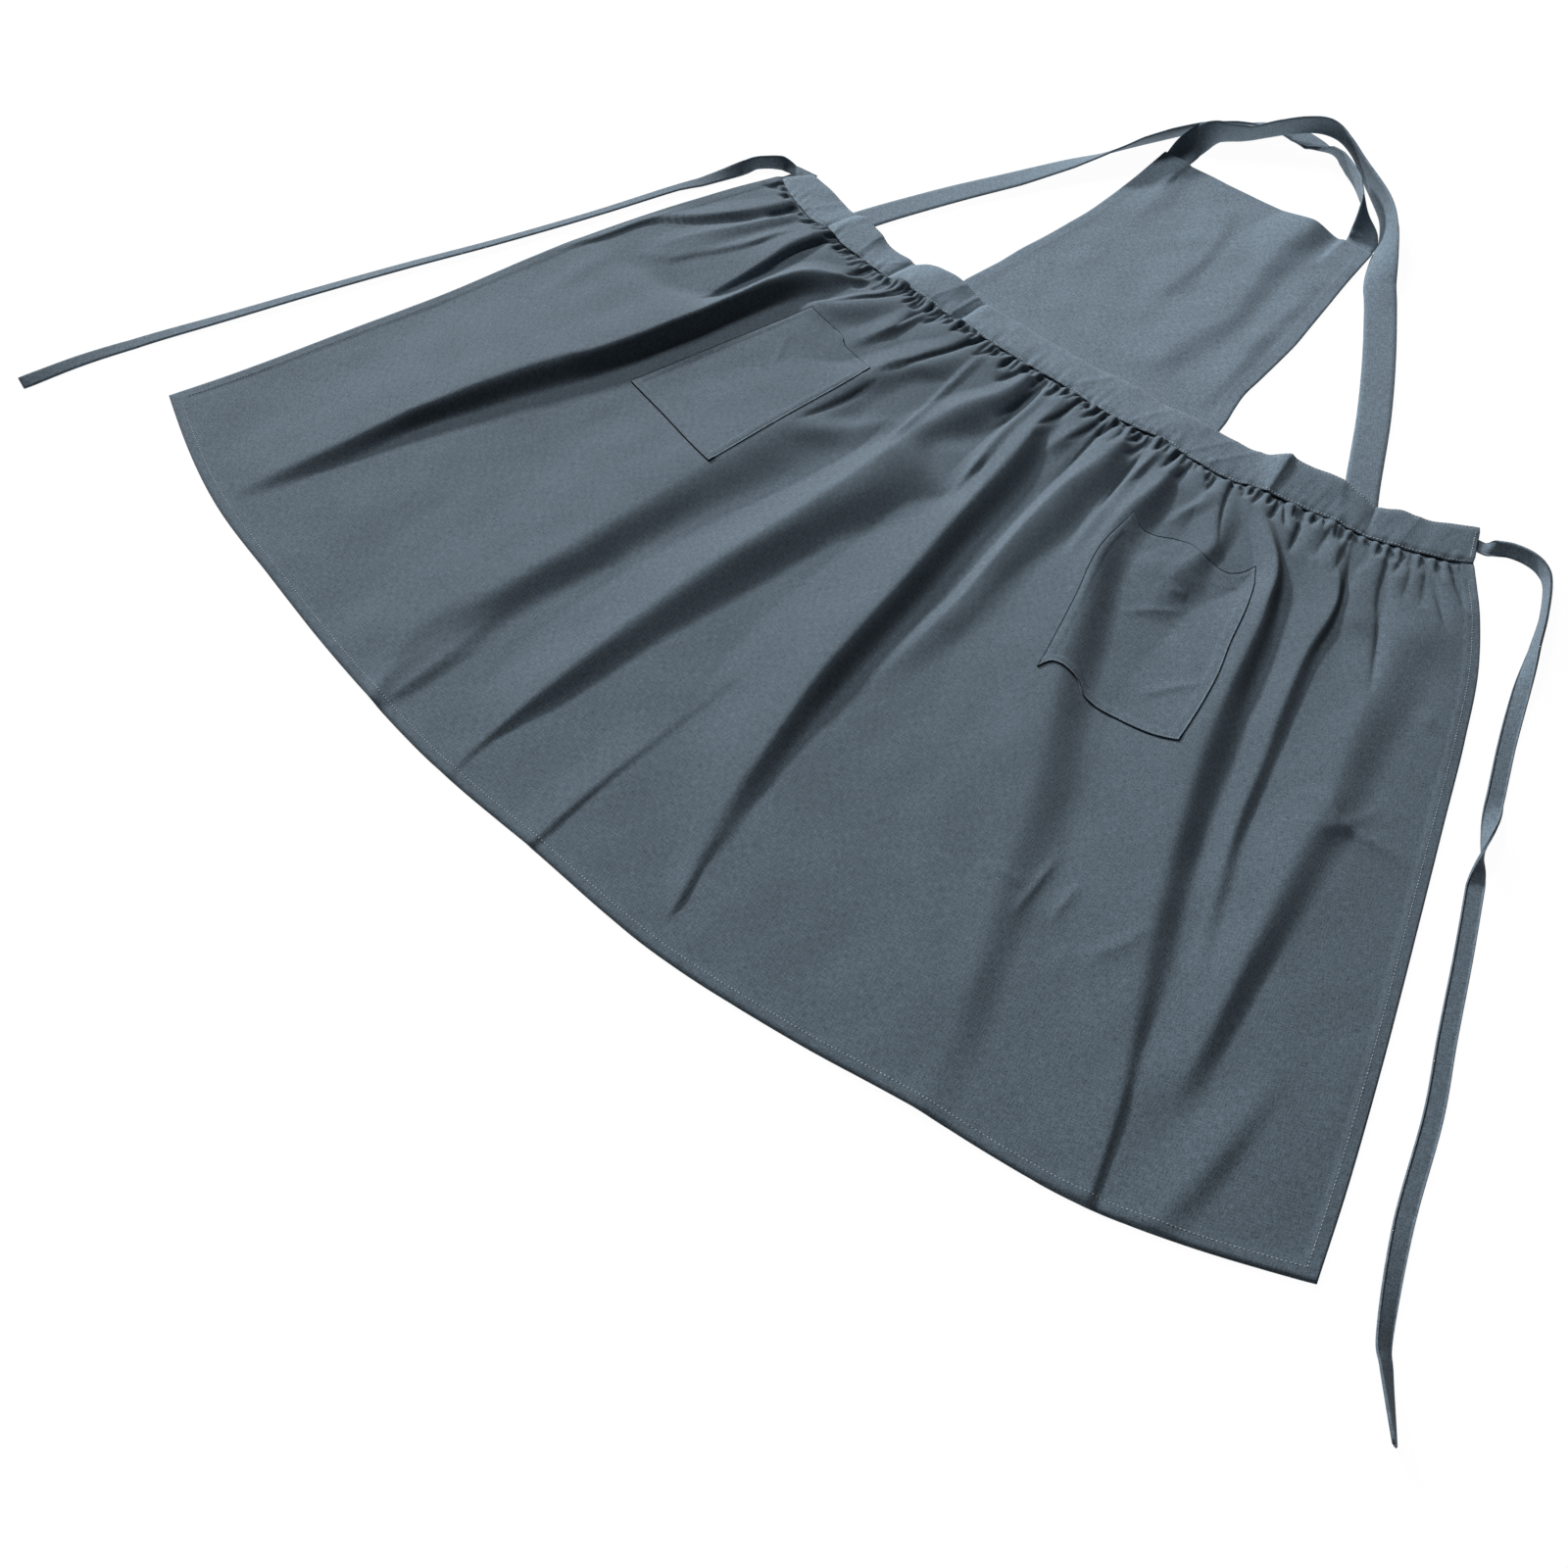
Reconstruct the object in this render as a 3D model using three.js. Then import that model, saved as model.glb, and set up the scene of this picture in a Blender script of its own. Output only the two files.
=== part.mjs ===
// Kitchen apron lying on its back: bib, waistband, gathered skirt with two patch pockets,
// two straps that cross at the top, and two waist ties. Millimetres, +Z up.
// x runs along the waistband, y from the hem to the bib, and the apron lies on z = 0.
import * as THREE from 'three';

// Cloth
const CLOTH = 1.2; // one layer of cotton-linen
const DOUBLED = 1.8; // two layers turned and stitched flat
const GAP = 0.3; // space between pieces that are sewn together

// Skirt plan: a fan between the waist seam and the hem, each a dipping curve
const WAIST = { half: 385, middle: 0, y: 0, dip: 60, bow: 3 };
const HEM = { half: 592, middle: 5, y: -604, dip: 109, bow: 2.4 };

// How far each side edge bows outwards, v from waist (0) to hem (1)
const SIDE_SWELL = [
  { v: 0, left: 0, right: 0 },
  { v: 0.08, left: 9, right: 14 },
  { v: 0.16, left: 14, right: 22 },
  { v: 0.28, left: 17, right: 23 },
  { v: 0.42, left: 14, right: 20 },
  { v: 0.56, left: 6, right: 17 },
  { v: 0.75, left: 2, right: 12 },
  { v: 0.9, left: -1, right: 6 },
  { v: 1, left: 0, right: 0 },
];
const SWELL_SPREAD = 3; // higher keeps the swell closer to the side edges

// Skirt gathers
const PLEATS = 30;
const COLUMNS_PER_PLEAT = 4;
const GATHER = { rise: 3.6, reach: 0.075, wander: 0.35, wander_rate: 2.1 };
const PUFF = { rise: 4, reach: 0.13 }; // the bulk of the gathers lifts the cloth below the waist
const SEAM = { flat: 0.002, free: 0.035 }; // the gathers are pressed flat at the waist seam

// Rows of the skirt from waist to hem, as shares of its length: the first is tucked under the band
const MOUTH_ROW = 5;
const POCKET_FOOT_ROW = 10;
const SKIRT_ROWS = [
  -0.01, 0.002, 0.018, 0.045, 0.08, 0.12, 0.17, 0.23, 0.295, 0.365, 0.43, 0.52, 0.63, 0.75, 0.88, 1,
];

// Main folds. waist, middle, hem: where the crest crosses the skirt (-1 left side, 1 right side).
// from, to: the stretch between waist (0) and hem (1). rise: height of the crest.
// lit, lee: how far its left and right slopes reach.
const FOLDS = [
  { waist: -0.88, middle: -0.87, hem: -0.88, from: 0.05, to: 0.25, rise: 5, lit: 30, lee: 26 },
  { waist: -0.66, middle: -0.755, hem: -0.79, from: 0.07, to: 0.8, rise: 25, lit: 74, lee: 30 },
  { waist: -0.26, middle: -0.345, hem: -0.44, from: 0.06, to: 0.75, rise: 20, lit: 34, lee: 46 },
  { waist: -0.06, middle: -0.165, hem: -0.19, from: 0.05, to: 0.8, rise: 11, lit: 42, lee: 30 },
  { waist: 0.03, middle: 0.115, hem: 0.21, from: 0.05, to: 0.92, rise: 13, lit: 40, lee: 22 },
  { waist: 0.11, middle: 0.19, hem: 0.21, from: 0.05, to: 0.5, rise: 9, lit: 26, lee: 22 },
  { waist: 0.27, middle: 0.43, hem: 0.53, from: 0.06, to: 0.75, rise: 15, lit: 34, lee: 36 },
  { waist: 0.62, middle: 0.655, hem: 0.76, from: 0.06, to: 0.88, rise: 15, lit: 38, lee: 20 },
  { waist: 0.76, middle: 0.75, hem: 0.74, from: 0.05, to: 0.45, rise: 9, lit: 22, lee: 20 },
  { waist: 0.84, middle: 0.845, hem: 0.82, from: 0.3, to: 0.8, rise: 8, lit: 36, lee: 26 },
  { waist: 0.92, middle: 0.9, hem: 0.88, from: 0.05, to: 0.3, rise: 6, lit: 24, lee: 22 },
];
const FOLD_FADE = 0.16; // length over which a fold starts and dies away

// Pockets: from column to column of the skirt, and how far the mouth gapes
const POCKETS = {
  pocket_left: { first: 24, last: 42 },
  pocket_right: { first: 78, last: 96 },
};
const GAPE = { height: 9, growth: 1.5 };
const SLOPE_ALLOWANCE = 0.1; // the skirt's slopes narrow the pocket's gap a little

// Waistband and bib
const BAND_COLUMNS = 56;
const BAND_WIDTHS = [
  { u: -1, width: 33 },
  { u: -0.75, width: 37 },
  { u: -0.5, width: 41 },
  { u: 0, width: 46 },
  { u: 0.5, width: 42 },
  { u: 1, width: 41 },
];
const BAND_Z = DOUBLED + GAP; // underside of the band, above the strap tails
const BIB_TOP = 290;
const BIB_SIDES = {
  left: { at_waist: 150, at_top: 117, taper: 1.9 },
  right: { at_waist: 143, at_top: 126, taper: 1 },
};
const BIB_ROWS = [-21, -13, 12, 70, 130, 190, 238, 262, BIB_TOP];
const BIB_COLUMNS = [-1, -0.86, -0.72, -0.58, -0.29, 0, 0.29, 0.58, 0.72, 0.86, 1];
const BIB_CORNER = { from: 0.58, to: 0.72, low: 238, high: 262 }; // lifted over the strap ends

// Straps and ties: routes along the floor. lift: the lower edge above the floor.
// tilt: degrees about the route, positive with the left edge up.
const STRAP_WIDTH = 28;
const TIE_WIDTH = 12;
const STEPS = 3; // sections between two rows of a route
const STRAP_LEFT = [
  { x: -291, y: -18, lift: 0, tilt: 0 },
  { x: -271, y: 28, lift: 0, tilt: 0 },
  { x: -238, y: 92, lift: 0, tilt: 0 },
  { x: -206, y: 151, lift: 0, tilt: -4 },
  { x: -178, y: 204, lift: 0, tilt: -20 },
  { x: -156, y: 243, lift: 0, tilt: -41 },
  { x: -142, y: 274, lift: 0, tilt: -51 },
  { x: -127, y: 304, lift: 0, tilt: -55 },
  { x: -110, y: 334, lift: 0, tilt: -54 },
  { x: -87, y: 366, lift: 0, tilt: -44 },
  { x: -62, y: 394, lift: 0, tilt: -24 },
  { x: -33, y: 406, lift: 0, tilt: -8 },
  { x: -10, y: 404, lift: 0, tilt: -7 },
  { x: 8, y: 397, lift: 0, tilt: -24 },
  { x: 22, y: 390, lift: 0, tilt: -56 },
  { x: 36, y: 382, lift: 0, tilt: -68 },
  { x: 53, y: 370, lift: 0, tilt: -70 },
  { x: 69, y: 355, lift: 0, tilt: -74 },
  { x: 85, y: 337, lift: 0, tilt: -66 },
  { x: 97, y: 321, lift: 0, tilt: -42 },
  { x: 104, y: 308, lift: 0, tilt: -16 },
  { x: 107, y: 296, lift: 0, tilt: 0 },
  { x: 107, y: 267, lift: 0, tilt: 0 },
];
const STRAP_RIGHT = [
  { x: -103, y: 267, lift: 0, tilt: 0 },
  { x: -103, y: 296, lift: 0, tilt: 0 },
  { x: -101, y: 312, lift: 0, tilt: 32 },
  { x: -93, y: 327, lift: 0, tilt: 78 },
  { x: -83, y: 344, lift: 0, tilt: 112 },
  { x: -64, y: 360, lift: 1, tilt: 118 },
  { x: -45, y: 375, lift: 7, tilt: 114 },
  { x: -27, y: 391, lift: 11, tilt: 114 },
  { x: -8, y: 404, lift: 13, tilt: 116 },
  { x: 10, y: 407, lift: 12, tilt: 117 },
  { x: 30, y: 400, lift: 8, tilt: 115 },
  { x: 54, y: 385, lift: 2, tilt: 106 },
  { x: 79, y: 365, lift: 0, tilt: 96 },
  { x: 104, y: 342, lift: 0, tilt: 86 },
  { x: 125, y: 315, lift: 0, tilt: 72 },
  { x: 141, y: 284, lift: 0, tilt: 42 },
  { x: 156, y: 254, lift: 0, tilt: 14 },
  { x: 173, y: 225, lift: 0, tilt: 0 },
  { x: 206, y: 158, lift: 0, tilt: 0 },
  { x: 239, y: 91, lift: 0, tilt: 0 },
  { x: 276, y: 18, lift: 0, tilt: 0 },
  { x: 293, y: -16, lift: 0, tilt: 0 },
];
const TIE_LEFT = [
  { x: -361, y: 18, lift: 0, tilt: 0 },
  { x: -386, y: 16, lift: 0, tilt: 0 },
  { x: -397, y: 11, lift: 0, tilt: -62 },
  { x: -407, y: 3, lift: 0, tilt: -78 },
  { x: -416, y: -7, lift: 0, tilt: -80 },
  { x: -421, y: -20, lift: 0, tilt: -60 },
  { x: -431, y: -38, lift: 0, tilt: -20 },
  { x: -453, y: -86, lift: 0, tilt: 14 },
  { x: -485, y: -170, lift: 0, tilt: 18 },
  { x: -523, y: -259, lift: 0, tilt: 18 },
  { x: -565, y: -348, lift: 0, tilt: 16 },
  { x: -605, y: -438, lift: 0, tilt: 14 },
  { x: -635, y: -508, lift: 0, tilt: 10 },
  { x: -665, y: -575, lift: 0, tilt: 2 },
  { x: -686, y: -631, lift: 0, tilt: -8 },
  { x: -700, y: -686, lift: 0, tilt: -18 },
];
const TIE_RIGHT = [
  { x: 362, y: 18, lift: 0, tilt: 0 },
  { x: 384, y: 19, lift: 0, tilt: 0 },
  { x: 392, y: 21, lift: 0, tilt: 50 },
  { x: 404, y: 27, lift: 0, tilt: 66 },
  { x: 419, y: 29, lift: 0, tilt: 70 },
  { x: 432, y: 25, lift: 0, tilt: 76 },
  { x: 443, y: 13, lift: 0, tilt: 82 },
  { x: 456, y: -19, lift: 0, tilt: 80 },
  { x: 466, y: -55, lift: 0, tilt: 66 },
  { x: 478, y: -99, lift: 0, tilt: 22 },
  { x: 493, y: -150, lift: 0, tilt: 4 },
  { x: 511, y: -205, lift: 0, tilt: 0 },
  { x: 524, y: -249, lift: 0, tilt: 90 },
  { x: 535, y: -280, lift: 0, tilt: 180 },
  { x: 555, y: -335, lift: 0, tilt: 180 },
  { x: 577, y: -399, lift: 0, tilt: 180 },
  { x: 597, y: -455, lift: 0, tilt: 180 },
  { x: 618, y: -532, lift: 0, tilt: 176 },
  { x: 642, y: -599, lift: 0, tilt: 154 },
  { x: 654, y: -619, lift: 0, tilt: 140 },
  { x: 678, y: -653, lift: 0, tilt: 115 },
];

const COLOURS = { body: 0x56626b, band: 0x5b6770 };

const { clamp, lerp, smoothstep, degToRad } = THREE.MathUtils;
const UP = new THREE.Vector3(0, 0, 1);

// Value of a column at a place between the rows of a table
function readTable(rows, key, at, column) {
  const inside = clamp(at, rows[0][key], rows.at(-1)[key]);
  const next = Math.max(rows.findIndex((row) => row[key] >= inside), 1);
  const low = rows[next - 1];
  const high = rows[next];
  return lerp(low[column], high[column], (inside - low[key]) / (high[key] - low[key]));
}

// A dipping edge of the skirt's plan, u from -1 to 1
function edgePoint(edge, u) {
  const dip = edge.dip * (1 - Math.abs(u) ** edge.bow);
  return new THREE.Vector2(edge.middle + edge.half * u, edge.y - dip);
}

// Plan of the skirt, v from waist (0) to hem (1)
function skirtPlan(u, v) {
  const point = edgePoint(WAIST, u).lerp(edgePoint(HEM, u), v);
  const swell = readTable(SIDE_SWELL, 'v', v, u < 0 ? 'left' : 'right');
  point.x += Math.sign(u) * swell * Math.abs(u) ** SWELL_SPREAD;
  return point;
}

// Quadratic through the fold's places at the waist, half way and at the hem
function crest(fold, v) {
  const atWaist = fold.waist * (1 - v) * (1 - 2 * v);
  const atMiddle = fold.middle * 4 * v * (1 - v);
  const atHem = fold.hem * v * (2 * v - 1);
  return atWaist + atMiddle + atHem;
}

function foldRise(fold, u, v) {
  const halfWidth = lerp(WAIST.half, HEM.half, v);
  const across = (u - crest(fold, v)) * halfWidth;
  const reach = across < 0 ? fold.lit : fold.lee;
  const starts = smoothstep(v, fold.from - FOLD_FADE / 2, fold.from + FOLD_FADE / 2);
  const dies = 1 - smoothstep(v, fold.to - FOLD_FADE, fold.to + FOLD_FADE);
  return fold.rise * starts * dies * Math.exp(-((across / reach) ** 2));
}

function gatherRise(u, v) {
  const turns = (PLEATS * (u + 1)) / 2;
  const wander = 1 + GATHER.wander * Math.cos(GATHER.wander_rate * Math.floor(turns));
  const height = GATHER.rise * wander * Math.exp(-Math.max(v, 0) / GATHER.reach);
  return height * (1 + Math.sin(2 * Math.PI * turns));
}

// Middle surface of the skirt
function skirtPoint(u, v) {
  const plan = skirtPlan(u, v);
  const free = smoothstep(v, SEAM.flat, SEAM.free);
  const folds = FOLDS.reduce((sum, fold) => sum + foldRise(fold, u, v), 0);
  const puff = PUFF.rise * Math.exp(-Math.max(v, 0) / PUFF.reach);
  const tucked = (BAND_Z - GAP - CLOTH) * (1 - free);
  const rise = free * (folds + puff + gatherRise(u, v)) + tucked;
  return new THREE.Vector3(plan.x, plan.y, CLOTH / 2 + rise);
}

// Unit normal of a grid of points, from its neighbours
function gridNormal(grid, row, column) {
  const rows = grid.length - 1;
  const columns = grid[0].length - 1;
  const left = grid[row][Math.max(column - 1, 0)];
  const right = grid[row][Math.min(column + 1, columns)];
  const before = grid[Math.max(row - 1, 0)][column];
  const after = grid[Math.min(row + 1, rows)][column];
  const across = right.clone().sub(left);
  const along = after.clone().sub(before);
  return across.cross(along).normalize();
}

// Closed solid of even thickness around a grid of points on its middle surface
function sheetGeometry(grid, thickness) {
  const rows = grid.length;
  const columns = grid[0].length;
  const positions = [];
  const triangles = [];
  for (const side of [1, -1]) {
    for (let row = 0; row < rows; row += 1) {
      for (let column = 0; column < columns; column += 1) {
        const offset = gridNormal(grid, row, column).multiplyScalar((side * thickness) / 2);
        const point = grid[row][column].clone().add(offset);
        positions.push(point.x, point.y, point.z);
      }
    }
  }
  const top = (row, column) => row * columns + column;
  const under = (row, column) => rows * columns + top(row, column);
  const quad = (a, b, c, d) => triangles.push(a, b, c, a, c, d);
  for (let row = 0; row < rows - 1; row += 1) {
    for (let column = 0; column < columns - 1; column += 1) {
      const next = column + 1;
      quad(top(row, column), top(row, next), top(row + 1, next), top(row + 1, column));
      quad(under(row, column), under(row + 1, column), under(row + 1, next), under(row, next));
    }
  }
  const lastRow = rows - 1;
  const lastColumn = columns - 1;
  for (let column = 0; column < lastColumn; column += 1) {
    const next = column + 1;
    quad(top(0, column), under(0, column), under(0, next), top(0, next));
    quad(top(lastRow, column), top(lastRow, next), under(lastRow, next), under(lastRow, column));
  }
  for (let row = 0; row < lastRow; row += 1) {
    const next = row + 1;
    quad(top(row, 0), top(next, 0), under(next, 0), under(row, 0));
    quad(top(row, lastColumn), under(row, lastColumn), under(next, lastColumn), top(next, lastColumn));
  }
  const geometry = new THREE.BufferGeometry();
  geometry.setAttribute('position', new THREE.Float32BufferAttribute(positions, 3));
  geometry.setIndex(triangles);
  geometry.computeVertexNormals();
  return geometry;
}

// Rows run from hem to waist, so that the grid's normals point up
function skirtGrid() {
  const columns = PLEATS * COLUMNS_PER_PLEAT;
  return SKIRT_ROWS.toReversed().map((v) =>
    Array.from({ length: columns + 1 }, (_, column) => skirtPoint(-1 + (2 * column) / columns, v)),
  );
}

// A patch that follows the skirt's own rows and columns and gapes at its mouth
function pocketGrid(skirt, pocket) {
  const lastRow = SKIRT_ROWS.length - 1;
  const grid = [];
  for (let row = POCKET_FOOT_ROW; row >= MOUTH_ROW; row -= 1) {
    const open = (POCKET_FOOT_ROW - row) / (POCKET_FOOT_ROW - MOUTH_ROW);
    const points = [];
    for (let column = pocket.first; column <= pocket.last; column += 1) {
      const across = (column - pocket.first) / (pocket.last - pocket.first);
      const gape = GAPE.height * open ** GAPE.growth * Math.sin(Math.PI * across);
      const normal = gridNormal(skirt, lastRow - row, column);
      const point = skirt[lastRow - row][column].clone();
      point.addScaledVector(normal, CLOTH + GAP + SLOPE_ALLOWANCE).addScaledVector(UP, gape);
      points.push(point);
    }
    grid.push(points);
  }
  return grid;
}

// Lower edge of the band is the waist seam, its upper edge a parallel curve
function bandGrid() {
  const lower = [];
  const upper = [];
  for (let column = 0; column <= BAND_COLUMNS; column += 1) {
    const u = -1 + (2 * column) / BAND_COLUMNS;
    const slope = (WAIST.dip * WAIST.bow * Math.sign(u) * Math.abs(u) ** (WAIST.bow - 1)) / WAIST.half;
    const width = readTable(BAND_WIDTHS, 'u', u, 'width');
    const across = new THREE.Vector2(-slope, 1).normalize().multiplyScalar(width);
    const seam = edgePoint(WAIST, u);
    lower.push(new THREE.Vector3(seam.x, seam.y, BAND_Z + DOUBLED / 2));
    upper.push(new THREE.Vector3(seam.x + across.x, seam.y + across.y, BAND_Z + DOUBLED / 2));
  }
  return [lower, upper];
}

// Flat but for its lower edge, tucked under the band, and the corners over the strap ends
function bibGrid() {
  const tuckedLift = BAND_Z - GAP - CLOTH;
  return BIB_ROWS.map((y) => {
    const share = Math.max(y, 0) / BIB_TOP;
    return BIB_COLUMNS.map((column) => {
      const edge = column < 0 ? BIB_SIDES.left : BIB_SIDES.right;
      const half = lerp(edge.at_top, edge.at_waist, (1 - share) ** edge.taper);
      const side = smoothstep(Math.abs(column), BIB_CORNER.from, BIB_CORNER.to);
      const corner = side * smoothstep(y, BIB_CORNER.low, BIB_CORNER.high) * (DOUBLED + GAP);
      const lower = y < 0 ? tuckedLift : 0;
      return new THREE.Vector3(half * column, y, CLOTH / 2 + corner + lower);
    });
  });
}

// A strap or tie: a ribbon along a route, turned about it by the tilt
function ribbonGrid(route, width) {
  const curve = new THREE.CatmullRomCurve3(
    route.map((row) => new THREE.Vector3(row.x, row.y, row.lift)),
    false,
    'catmullrom',
  );
  const spans = route.length - 1;
  const sections = spans * STEPS;
  const grid = [];
  for (let section = 0; section <= sections; section += 1) {
    const share = section / sections;
    const span = Math.min(Math.floor(section / STEPS), spans - 1);
    const tilt = degToRad(lerp(route[span].tilt, route[span + 1].tilt, section / STEPS - span));
    const middle = curve.getPoint(share);
    const heading = curve.getTangent(share).setZ(0).normalize();
    const left = UP.clone().cross(heading).multiplyScalar(Math.cos(tilt));
    const half = left.addScaledVector(UP, Math.sin(tilt)).multiplyScalar(width / 2);
    middle.z += Math.abs(half.z) + (DOUBLED / 2) * Math.abs(Math.cos(tilt));
    grid.push([middle.clone().add(half), middle.clone().sub(half)]);
  }
  return grid;
}

function addPiece(group, name, grid, thickness, colour) {
  const material = new THREE.MeshStandardMaterial({ color: colour, roughness: 0.92, metalness: 0 });
  const mesh = new THREE.Mesh(sheetGeometry(grid, thickness), material);
  mesh.name = name;
  group.add(mesh);
}

const apron = new THREE.Group();
const skirt = skirtGrid();
addPiece(apron, 'skirt', skirt, CLOTH, COLOURS.body);
for (const [name, pocket] of Object.entries(POCKETS)) {
  addPiece(apron, name, pocketGrid(skirt, pocket), CLOTH, COLOURS.body);
}
addPiece(apron, 'waistband', bandGrid(), DOUBLED, COLOURS.band);
addPiece(apron, 'bib', bibGrid(), CLOTH, COLOURS.band);
addPiece(apron, 'strap_left', ribbonGrid(STRAP_LEFT, STRAP_WIDTH), DOUBLED, COLOURS.band);
addPiece(apron, 'strap_right', ribbonGrid(STRAP_RIGHT, STRAP_WIDTH), DOUBLED, COLOURS.band);
addPiece(apron, 'tie_left', ribbonGrid(TIE_LEFT, TIE_WIDTH), DOUBLED, COLOURS.band);
addPiece(apron, 'tie_right', ribbonGrid(TIE_RIGHT, TIE_WIDTH), DOUBLED, COLOURS.band);

// The part's origin is the middle of its footprint, on the floor
const box = new THREE.Box3().setFromObject(apron, true);
const middle = box.getCenter(new THREE.Vector3());
apron.position.set(-middle.x, -middle.y, -box.min.z);

export default apron;
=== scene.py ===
# Kitchen apron lying on its back on a pale floor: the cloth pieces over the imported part, light and camera.
# Tables are in millimetres from the middle of the waist seam: x along the band, y towards the bib, z up.
import math

import bpy
import numpy as np
from mathutils import Matrix, Vector


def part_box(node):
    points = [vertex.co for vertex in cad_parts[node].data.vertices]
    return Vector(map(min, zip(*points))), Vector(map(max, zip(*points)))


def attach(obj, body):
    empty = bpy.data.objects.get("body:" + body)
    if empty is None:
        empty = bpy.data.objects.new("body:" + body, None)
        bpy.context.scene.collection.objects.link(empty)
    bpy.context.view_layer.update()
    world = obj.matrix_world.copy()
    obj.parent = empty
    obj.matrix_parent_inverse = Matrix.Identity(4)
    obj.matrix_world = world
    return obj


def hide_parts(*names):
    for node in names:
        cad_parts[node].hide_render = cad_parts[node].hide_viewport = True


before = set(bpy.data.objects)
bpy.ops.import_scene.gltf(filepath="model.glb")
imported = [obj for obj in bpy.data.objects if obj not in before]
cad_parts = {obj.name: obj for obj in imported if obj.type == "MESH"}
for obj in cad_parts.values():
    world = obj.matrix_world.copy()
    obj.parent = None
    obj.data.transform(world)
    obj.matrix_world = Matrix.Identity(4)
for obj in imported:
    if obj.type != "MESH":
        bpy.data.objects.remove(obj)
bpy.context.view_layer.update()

# Middle of the waist seam, found from the bib
bib_low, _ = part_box("bib")
BIB_HALF_FOOT, BIB_TUCK = 0.150, 0.021
ORIGIN = np.array([bib_low[0] + BIB_HALF_FOOT, bib_low[1] + BIB_TUCK, 0.0])

# Thickness of one and of two layers, least height above the floor, bulge of an edge per half thickness
CLOTH, DOUBLED, CLEAR, RIM = 1.0, 1.9, 0.05, 0.9


def metres(points):
    """Places in the part's frame, in metres."""
    return ORIGIN + np.asarray(points, float) * 0.001


def smooth(low, high, value):
    t = np.clip((value - low) / (high - low), 0, 1)
    return t * t * (3 - 2 * t)


def soft_low(a, b, k):
    """The lower of two values, rounded where they cross."""
    return 0.5 * (a + b - np.sqrt((a - b) ** 2 + k * k))


def curve(xs, ys, at):
    """Smooth curve through the rows of a table, level beyond its ends."""
    xs, ys = np.asarray(xs, float), np.asarray(ys, float)
    slope = np.gradient(ys, xs)
    at = np.clip(at, xs[0], xs[-1])
    i = np.clip(np.searchsorted(xs, at) - 1, 0, len(xs) - 2)
    step = xs[i + 1] - xs[i]
    t = (at - xs[i]) / step
    return (
        (1 + 2 * t) * (1 - t) ** 2 * ys[i]
        + t * (1 - t) ** 2 * step * slope[i]
        + t * t * (3 - 2 * t) * ys[i + 1]
        + t * t * (t - 1) * step * slope[i + 1]
    )


def waves(x, y, length, count, seed):
    """Even, aimless unevenness: a sum of plane waves near one wavelength, about -1 to 1."""
    own = np.random.default_rng(seed)
    total = np.zeros_like(x, dtype=float)
    for _ in range(count):
        turn = own.uniform(0, 2 * math.pi)
        rate = 2 * math.pi / (length * own.uniform(0.7, 1.5))
        phase = own.uniform(0, 2 * math.pi)
        total += np.sin((x * math.cos(turn) + y * math.sin(turn)) * rate + phase)
    return total / math.sqrt(count)


# Meshes
def grid_normals(grid):
    down = np.gradient(grid, axis=0)
    across = np.gradient(grid, axis=1)
    normal = np.cross(across, down)
    normal /= np.linalg.norm(normal, axis=2, keepdims=True)
    return normal


def quads(index, facing_up):
    """Faces between neighbouring points of a grid of indices."""
    a, b, c, d = index[:-1, :-1], index[:-1, 1:], index[1:, 1:], index[1:, :-1]
    return np.stack([a, d, c, b] if facing_up else [a, b, c, d], -1).reshape(-1, 4)


def new_object(name, points, faces, uv, material):
    mesh = bpy.data.meshes.new(name)
    mesh.from_pydata(metres(points).tolist(), [], faces)
    layer = mesh.uv_layers.new(name="cloth")
    corners = np.empty(len(mesh.loops), np.int32)
    mesh.loops.foreach_get("vertex_index", corners)
    layer.data.foreach_set("uv", np.asarray(uv, np.float32)[corners].ravel())
    mesh.polygons.foreach_set("use_smooth", np.ones(len(mesh.polygons), bool))
    mesh.materials.append(material)
    obj = bpy.data.objects.new(name, mesh)
    bpy.context.scene.collection.objects.link(obj)
    return obj


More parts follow.
